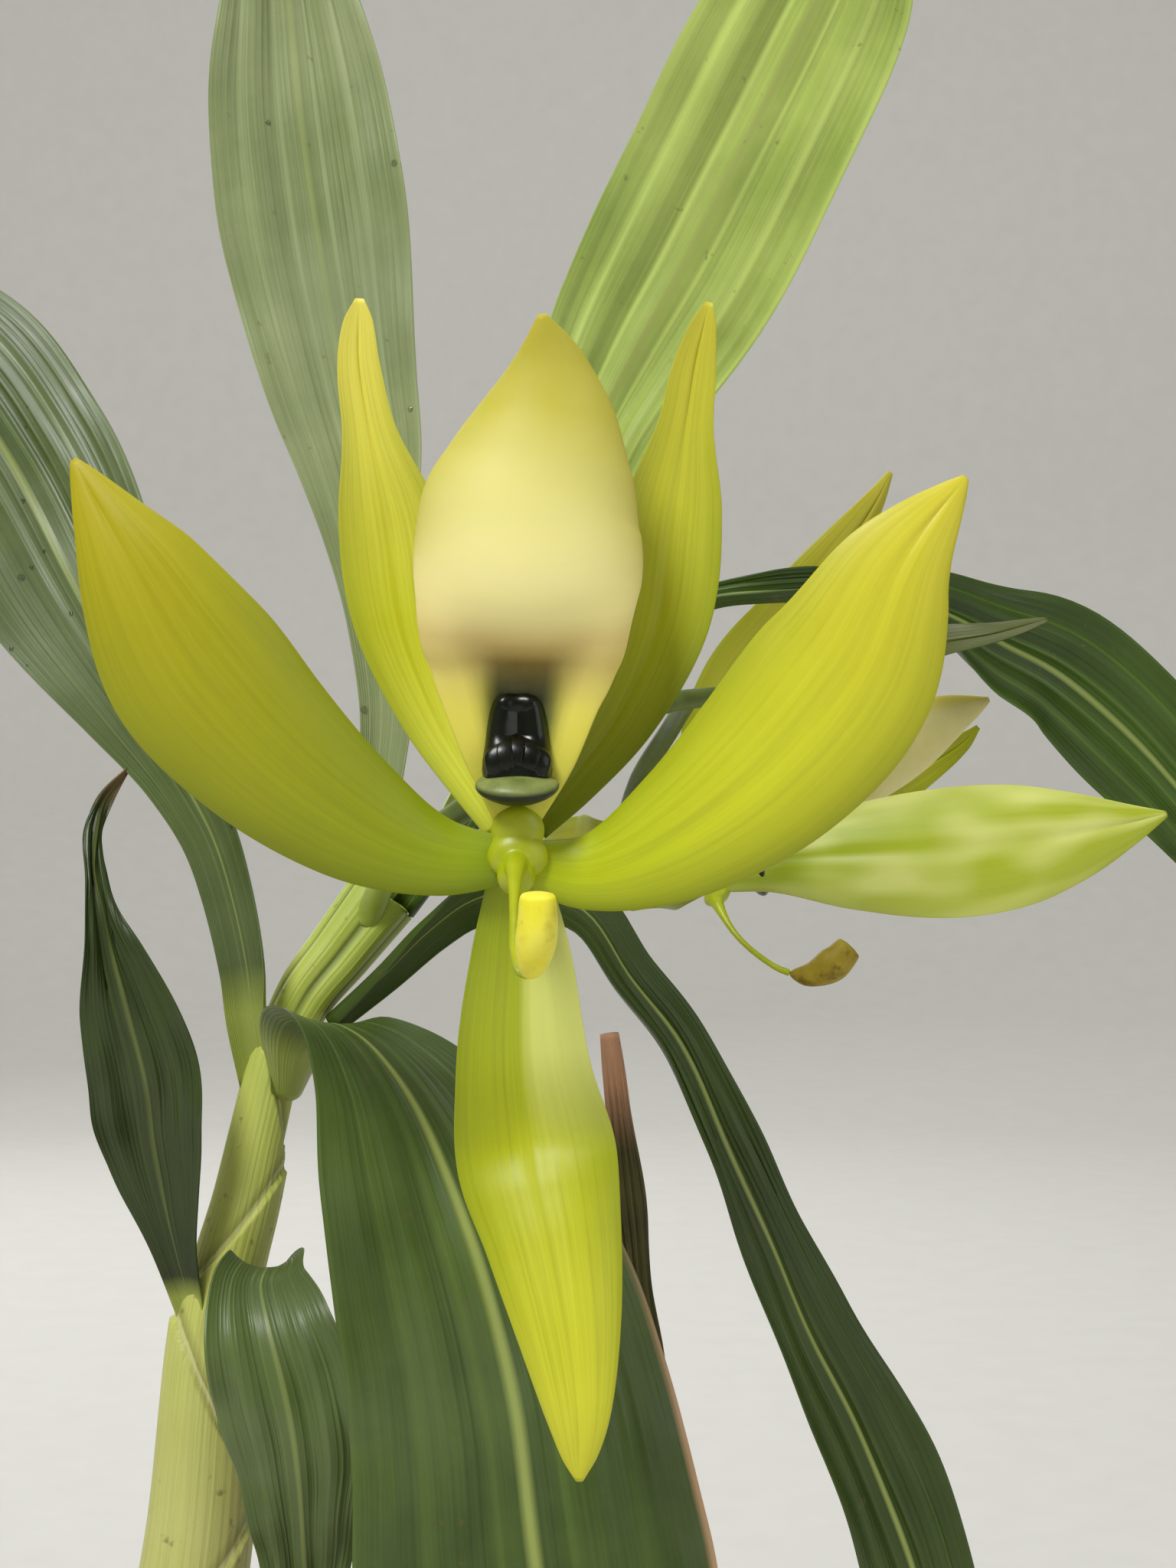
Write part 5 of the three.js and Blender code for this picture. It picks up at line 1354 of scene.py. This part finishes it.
def curve_object(name, points):
    """An open line through the points."""
    data = bpy.data.curves.new(name, "CURVE")
    data.dimensions = "3D"
    spline = data.splines.new("POLY")
    spline.points.add(len(points) - 1)
    for point, spot in zip(spline.points, points):
        point.co = (*(v * MM for v in spot), 1)
    return placed(name, data)


RACHIS = [
    [1, 0, 288], [4, -5, 294.5], [9, -13, 299.5], [18, -24, 306], [32, -29, 314], [44, -24, 320],
    [53, -12, 322], [58, -4, 322.5],
]
SWEEP = sweep_tree()


def swept(name, points, start, end):
    path = curve_object(name, through(points, 90)[0])
    return grown(path, SWEEP, name, Start_radius=start * MM, End_radius=end * MM, Sides=20, Finish=STALK)


def make_stalk():
    things = [swept("rachis", RACHIS, 2.1, 1.4)]
    for flower in FLOWERS.values():
        out = Vector(direction_in_plant(flower["hub_out"])).normalized()
        seat = Vector(flower["centre"]) - out * (flower["size"] * HUB_BACK + 0.3)
        path = [*flower["stalk"], list(seat - out * 6), list(seat)]
        things.append(swept("pedicel", path, 1.4, 1.9))
    whole = joined("stalk_parts", things)
    bm = bmesh.new()
    bm.from_mesh(whole.data)
    bpy.data.objects.remove(whole)
    return melted("fine_flower_stalk", bm, STALK, voxel_mm=0.3, rounds=3)


stalk = settle(make_stalk(), "flower_stalk")
print("stalk triangles:", triangles(stalk))

# %% [markdown]
# ## Pot
# A clay pot is thrown on a wheel, so its whole form follows from one outline that is turned
# about the upright axis. A node tree does the same: it sweeps the outline round a tiny circle,
# welds the points on the axis and drills the drain holes. The outline and the holes are those
# of the solid, with softer corners.

# %% Pot
POT = dict(rim=66, base=46, height=118, wall=5, floor=7, band=22, proud=3.2, holes=5, hole=4.5, circle=26)
FIRST_HOLE_TURN = 0.1 * math.pi
BARK_TOP = 104
BARK_CLEAR = 0.6


def wall_radius(z):
    return POT["base"] + (POT["rim"] - POT["proud"] - POT["base"]) * z / POT["height"]


def build_clay(t):
    patch = t.group(MOTTLE, Scale=16.0, Detail=6.0)
    colour = t.mix(patch, (164, 96, 68), (192, 124, 90))
    height = t.node("ShaderNodeSeparateXYZ", {0: t.place()}).outputs[2]
    damp = t.plus(height, t.times(t.noise(t.place(), 30.0, 4.0), 0.03))
    colour = t.mix(t.fall(damp, 0.02, 0.05, 0.55), colour, (116, 70, 52))
    lime = t.level(t.noise(t.place(), 55.0, 6.0), 0.56, 0.7, 0.0, 0.55)
    colour = t.mix(lime, colour, (214, 190, 168))
    grain = t.noise(t.place(), 900.0, 3.0)
    turning = t.first("ShaderNodeCombineXYZ", {2: t.times(height, 900.0)})
    rings = t.noise(turning, 1.0, 2.0)
    rough = t.bump(t.plus(grain, t.times(rings, 0.7)), 0.35, 0.35)
    return skin(colour, t.between(patch, 0.78, 0.92), rough)


CLAY = finish_material("clay", build_clay)


def turned_tree():
    """A node tree that turns an outline about the upright axis and drills a ring of holes."""
    t, given = geometry_tree("turned pot", Sides="Int", Holes="Int", Hole_radius="Float",
                             Hole_circle="Float", Finish="Material")
    axis = t.first("GeometryNodeCurvePrimitiveCircle", {"Resolution": given["Sides"], "Radius": 1e-6})
    body = t.first("GeometryNodeCurveToMesh", {"Curve": axis, "Profile Curve": given["Geometry"]})
    body = t.first("GeometryNodeMergeByDistance", {"Geometry": body, "Distance": 1e-5})
    ring = t.first("GeometryNodeMeshCircle", {"Vertices": given["Holes"], "Radius": given["Hole circle"]})
    ring = t.first("GeometryNodeTransform", {"Geometry": ring, "Rotation": (0, 0, FIRST_HOLE_TURN)})
    size = {"Vertices": 40, "Radius": given["Hole radius"], "Depth": 0.05}
    drill = t.node("GeometryNodeMeshCylinder", size).outputs["Mesh"]
    drills = t.first("GeometryNodeInstanceOnPoints", {"Points": ring, "Instance": drill})
    drills = t.first("GeometryNodeRealizeInstances", {"Geometry": drills})
    drilled = t.first("GeometryNodeMeshBoolean", {0: body, 1: drills}, operation="DIFFERENCE")
    return end_tree(t, drilled, given["Finish"])


def rounded(corners, radius, steps=5):
    """The outline with each inner corner softened to a small arc."""
    points = [corners[0]]
    for before, here, after in zip(corners, corners[1:], corners[2:]):
        a, b, c = (Vector(p) for p in (before, here, after))
        reach = min(radius, (a - b).length / 2, (c - b).length / 2)
        start, end = b + (a - b).normalized() * reach, b + (c - b).normalized() * reach
        for k in range(steps + 1):
            s = k / steps
            points.append(tuple((1 - s) ** 2 * start + 2 * s * (1 - s) * b + s * s * end))
    return points + [corners[-1]]


def make_pot():
    band = POT["height"] - POT["band"]
    top = POT["height"]
    inner = wall_radius(top) - POT["wall"]
    floor = POT["floor"]
    outline = [
        (0, 0), (POT["base"], 0), (wall_radius(band), band), (wall_radius(band) + POT["proud"], band + 1),
        (POT["rim"], top), (inner, top), (wall_radius(floor) - POT["wall"], floor), (0, floor),
    ]
    # The sweep turns an outline's second axis downwards, so heights go in with their sign changed
    line = curve_object("pot_outline", [(r, -z, 0) for r, z in rounded(outline, 1.6)])
    pot = grown(line, turned_tree(), "fine_pot", Sides=160, Holes=POT["holes"],
                Hole_radius=POT["hole"] * MM, Hole_circle=POT["circle"] * MM, Finish=CLAY)
    outward(pot)
    return settle(pot, "pot")


pot = make_pot()
print("pot box in mm:", [round(v / MM, 1) for v in pot.dimensions], "triangles:", triangles(pot))

# %% [markdown]
# ## Bark
# Orchids grow in chips of fir bark. Chips repeat, so a node tree strews them: it scatters
# points over a disc with a fixed seed, puts a rough flattened lump on each, turned its own way,
# and makes them real before a noise dents them, so that no two are alike. They lie on a plain
# filled body, as in the solid, which shows only between them.

# %% Bark
def build_bark(t):
    patch = t.group(MOTTLE, Scale=120.0, Detail=6.0)
    broad = t.noise(t.place(), 45.0, 2.0)
    colour = t.mix(patch, (64, 42, 28), (122, 86, 58))
    colour = t.mix(t.level(broad, 0.4, 0.65, 0.0, 0.6), colour, (88, 60, 40))
    pale = t.level(t.noise(t.place(), 260.0, 4.0), 0.6, 0.72, 0.0, 0.6)
    colour = t.mix(pale, colour, (160, 126, 92))
    return skin(colour, t.between(patch, 0.8, 0.98), t.bump(patch, 0.7, 0.6))


BARK = finish_material("bark", build_bark)


def chips_tree():
    """A node tree that strews dented chips over the disc it is put on."""
    t, given = geometry_tree("strewn chips", Spacing="Float", Density="Float", Chip_size="Float",
                             Dent="Float", Seed="Int", Finish="Material")
    seed = given["Seed"]
    field = {"Mesh": given["Geometry"], "Distance Min": given["Spacing"], "Density Max": given["Density"],
             "Seed": seed}
    spread = t.first("GeometryNodeDistributePointsOnFaces", field, distribute_method="POISSON")
    block = {"Size": (1, 0.62, 0.3), "Vertices X": 6, "Vertices Y": 5, "Vertices Z": 4}
    lump = t.first("GeometryNodeMeshCube", block)
    limits = {0: (-0.5, -0.5, 0), 1: (0.5, 0.5, 6.28), "Seed": seed}
    turn = t.first("FunctionNodeRandomValue", limits, data_type="FLOAT_VECTOR")
    vary = t.node("FunctionNodeRandomValue", {2: 0.7, 3: 1.25, "Seed": seed}).outputs[1]
    size = t.times(vary, given["Chip size"])
    chips = {"Points": spread, "Instance": lump, "Rotation": turn, "Scale": size}
    chips = t.first("GeometryNodeInstanceOnPoints", chips)
    chips = t.first("GeometryNodeRealizeInstances", {"Geometry": chips})
    field = t.node("ShaderNodeTexNoise", {"Scale": 160.0, "Detail": 3.0}).outputs["Color"]
    push = t.first("ShaderNodeVectorMath", {0: field, 1: (0.5, 0.5, 0.5)}, operation="SUBTRACT")
    push = t.first("ShaderNodeVectorMath", {0: push, "Scale": given["Dent"]}, operation="SCALE")
    dented = t.first("GeometryNodeSetPosition", {"Geometry": chips, "Offset": push})
    return end_tree(t, dented, given["Finish"])


def make_bark():
    inside = POT["wall"] + BARK_CLEAR
    bottom = POT["floor"] + 0.3
    side = BARK_TOP - 3
    rings = [(wall_radius(bottom) - inside, bottom), (wall_radius(side) - inside, side), (38, BARK_TOP - 1)]
    count = 120
    points = [(0, 0, bottom)]
    for radius, height in rings:
        points += circle(radius, height, count)
    points.append((0, 0, BARK_TOP))
    last = 1 + 2 * count
    faces = [(0, 1 + (k + 1) % count, 1 + k) for k in range(count)]
    faces += grid_faces(3, count, first=1, wrap=True)
    faces += [(last + k, last + (k + 1) % count, len(points) - 1) for k in range(count)]
    body = mesh_object("bark_body", points, faces, BARK, smooth=False)
    rim = circle(wall_radius(BARK_TOP) - inside - 8, BARK_TOP + 0.5, 60)
    disc = mesh_object("bark_disc", rim, [range(len(rim))], BARK, smooth=False)
    chips = grown(disc, chips_tree(), "bark_chips", Spacing=4.6 * MM, Density=60000.0, Chip_size=13 * MM,
                  Dent=3.2 * MM, Seed=7, Finish=BARK)
    return settle(joined("fine_potting_bark", [outward(body), outward(chips)]), "potting_bark")


bark = make_bark()
print("bark triangles:", triangles(bark), "height in mm:", round(bark.dimensions.z / MM, 1))

# %% [markdown]
# ## Dew
# Small drops stand on the two leaves at the upper left. They repeat, so a node tree scatters
# them over the leaf with a fixed seed, as flattened balls of clear water that sit half sunk
# in the skin, and joins them to the leaf they lie on.

# %% Dew
def build_water(t):
    return {"Roughness": t.between(t.noise(t.place(), 50.0), 0.02, 0.05)}


WATER = finish_material("water", build_water, Transmission_Weight=1.0, IOR=1.33)


def dew_tree():
    """A node tree that adds drops to the leaf it is put on."""
    t, given = geometry_tree("dew", Density="Float", Smallest="Float", Largest="Float", Seed="Int",
                             Water="Material")
    leaf, seed = given["Geometry"], given["Seed"]
    field = {"Mesh": leaf, "Density": given["Density"], "Seed": seed}
    spread = t.node("GeometryNodeDistributePointsOnFaces", field).outputs
    drop = t.first("GeometryNodeMeshIcoSphere", {"Radius": 1.0, "Subdivisions": 3})
    flat = t.first("GeometryNodeTransform", {"Geometry": drop, "Scale": (1, 1, 0.6)})
    limits = {2: given["Smallest"], 3: given["Largest"], "Seed": seed}
    size = t.node("FunctionNodeRandomValue", limits).outputs[1]
    drops = {"Points": spread["Points"], "Instance": flat, "Rotation": spread["Rotation"], "Scale": size}
    drops = t.first("GeometryNodeInstanceOnPoints", drops)
    real = t.first("GeometryNodeRealizeInstances", {"Geometry": drops})
    wet = t.first("GeometryNodeSetMaterial", {"Geometry": real, "Material": given["Water"]})
    both = t.node("GeometryNodeJoinGeometry", {0: t.first("GeometryNodeSetShadeSmooth", {"Geometry": wet})})
    t.tree.links.new(leaf, both.inputs[0])
    t.node("NodeGroupOutput", {0: both.outputs[0]})
    return t.tree


def without_empty_finishes(thing):
    """Takes out the material places that hold nothing."""
    mesh = thing.data
    kept = [finish for finish in mesh.materials if finish]
    moved = {i: kept.index(finish) for i, finish in enumerate(mesh.materials) if finish}
    places = [moved[face.material_index] for face in mesh.polygons]
    mesh.materials.clear()
    for finish in kept:
        mesh.materials.append(finish)
    mesh.polygons.foreach_set("material_index", places)
    return thing


DEW = dew_tree()
for name, density, seed in (("leaf_upper_left", 9000.0, 3), ("leaf_upper", 5000.0, 8)):
    wet = grown(leaf_pieces[name], DEW, "fine_" + name, Density=density, Smallest=0.15 * MM,
                Largest=0.6 * MM, Seed=seed, Water=WATER)
    leaf_pieces[name] = settle(without_empty_finishes(wet), name)
    print(name, "with dew, triangles:", triangles(wet), "finishes:", [m.name for m in wet.data.materials])

# %% [markdown]
# ## Stage and light
# The floor is a wide pale bowl, flat under the pot and rising far behind it, so no horizon
# shows. The light is soft and comes mostly from the front and above, as on an overcast day.

# %% Stage and light
def build_floor(t):
    grain = t.noise(t.place(), 40.0, 3.0)
    return {"Base Color": t.mix(grain, (206, 205, 200), (214, 213, 208))}


FLOOR = finish_material("pale floor", build_floor, Roughness=0.9)
FLOOR_OUTLINE = [(1900, 0), (2400, 60), (2900, 280), (3200, 700), (3300, 1600), (3300, 3200)]
FLOOR_SIDES = 96


def make_floor():
    points = [(0, 0, 0)]
    for radius, height in FLOOR_OUTLINE:
        points += circle(radius, height, FLOOR_SIDES)
    faces = [(0, 1 + k, 1 + (k + 1) % FLOOR_SIDES) for k in range(FLOOR_SIDES)]
    faces += grid_faces(len(FLOOR_OUTLINE), FLOOR_SIDES, first=1, wrap=True, flip=True)
    floor = mesh_object("floor", points, faces, FLOOR)
    return floor


def soft_light(name, place, aim, size, power):
    light = placed(name, bpy.data.lights.new(name, "AREA"))
    light.data.shape = "DISK"
    light.data.size = size
    light.data.energy = power
    light.location = place
    light.rotation_euler = (Vector(aim) - Vector(place)).to_track_quat("-Z", "Y").to_euler()
    light.visible_camera = False
    return light


make_floor()
AIM = (0.02, 0, 0.3)
LIGHTS = [
    ("key", (-0.6, -1.1, 1.6), AIM, 0.55, 26),
    ("fill", (1.3, -1.2, 0.7), AIM, 1.2, 5),
    ("top", (0.1, 0.2, 2.0), AIM, 1.0, 9),
    ("back", (-0.6, 1.5, 1.1), AIM, 1.2, 8),
    ("backdrop", (0, 1.1, 1.9), (0, 3.2, 0.7), 1.0, 14),
]
for light in LIGHTS:
    soft_light(*light)

world = bpy.data.worlds.new("pale sky")
world.use_nodes = True
sky = world.node_tree.nodes["Background"].inputs
sky["Color"].default_value = (1, 0.98, 0.94, 1)
sky["Strength"].default_value = 0.3
bpy.context.scene.world = world
bpy.context.scene.view_settings.view_transform = "Standard"
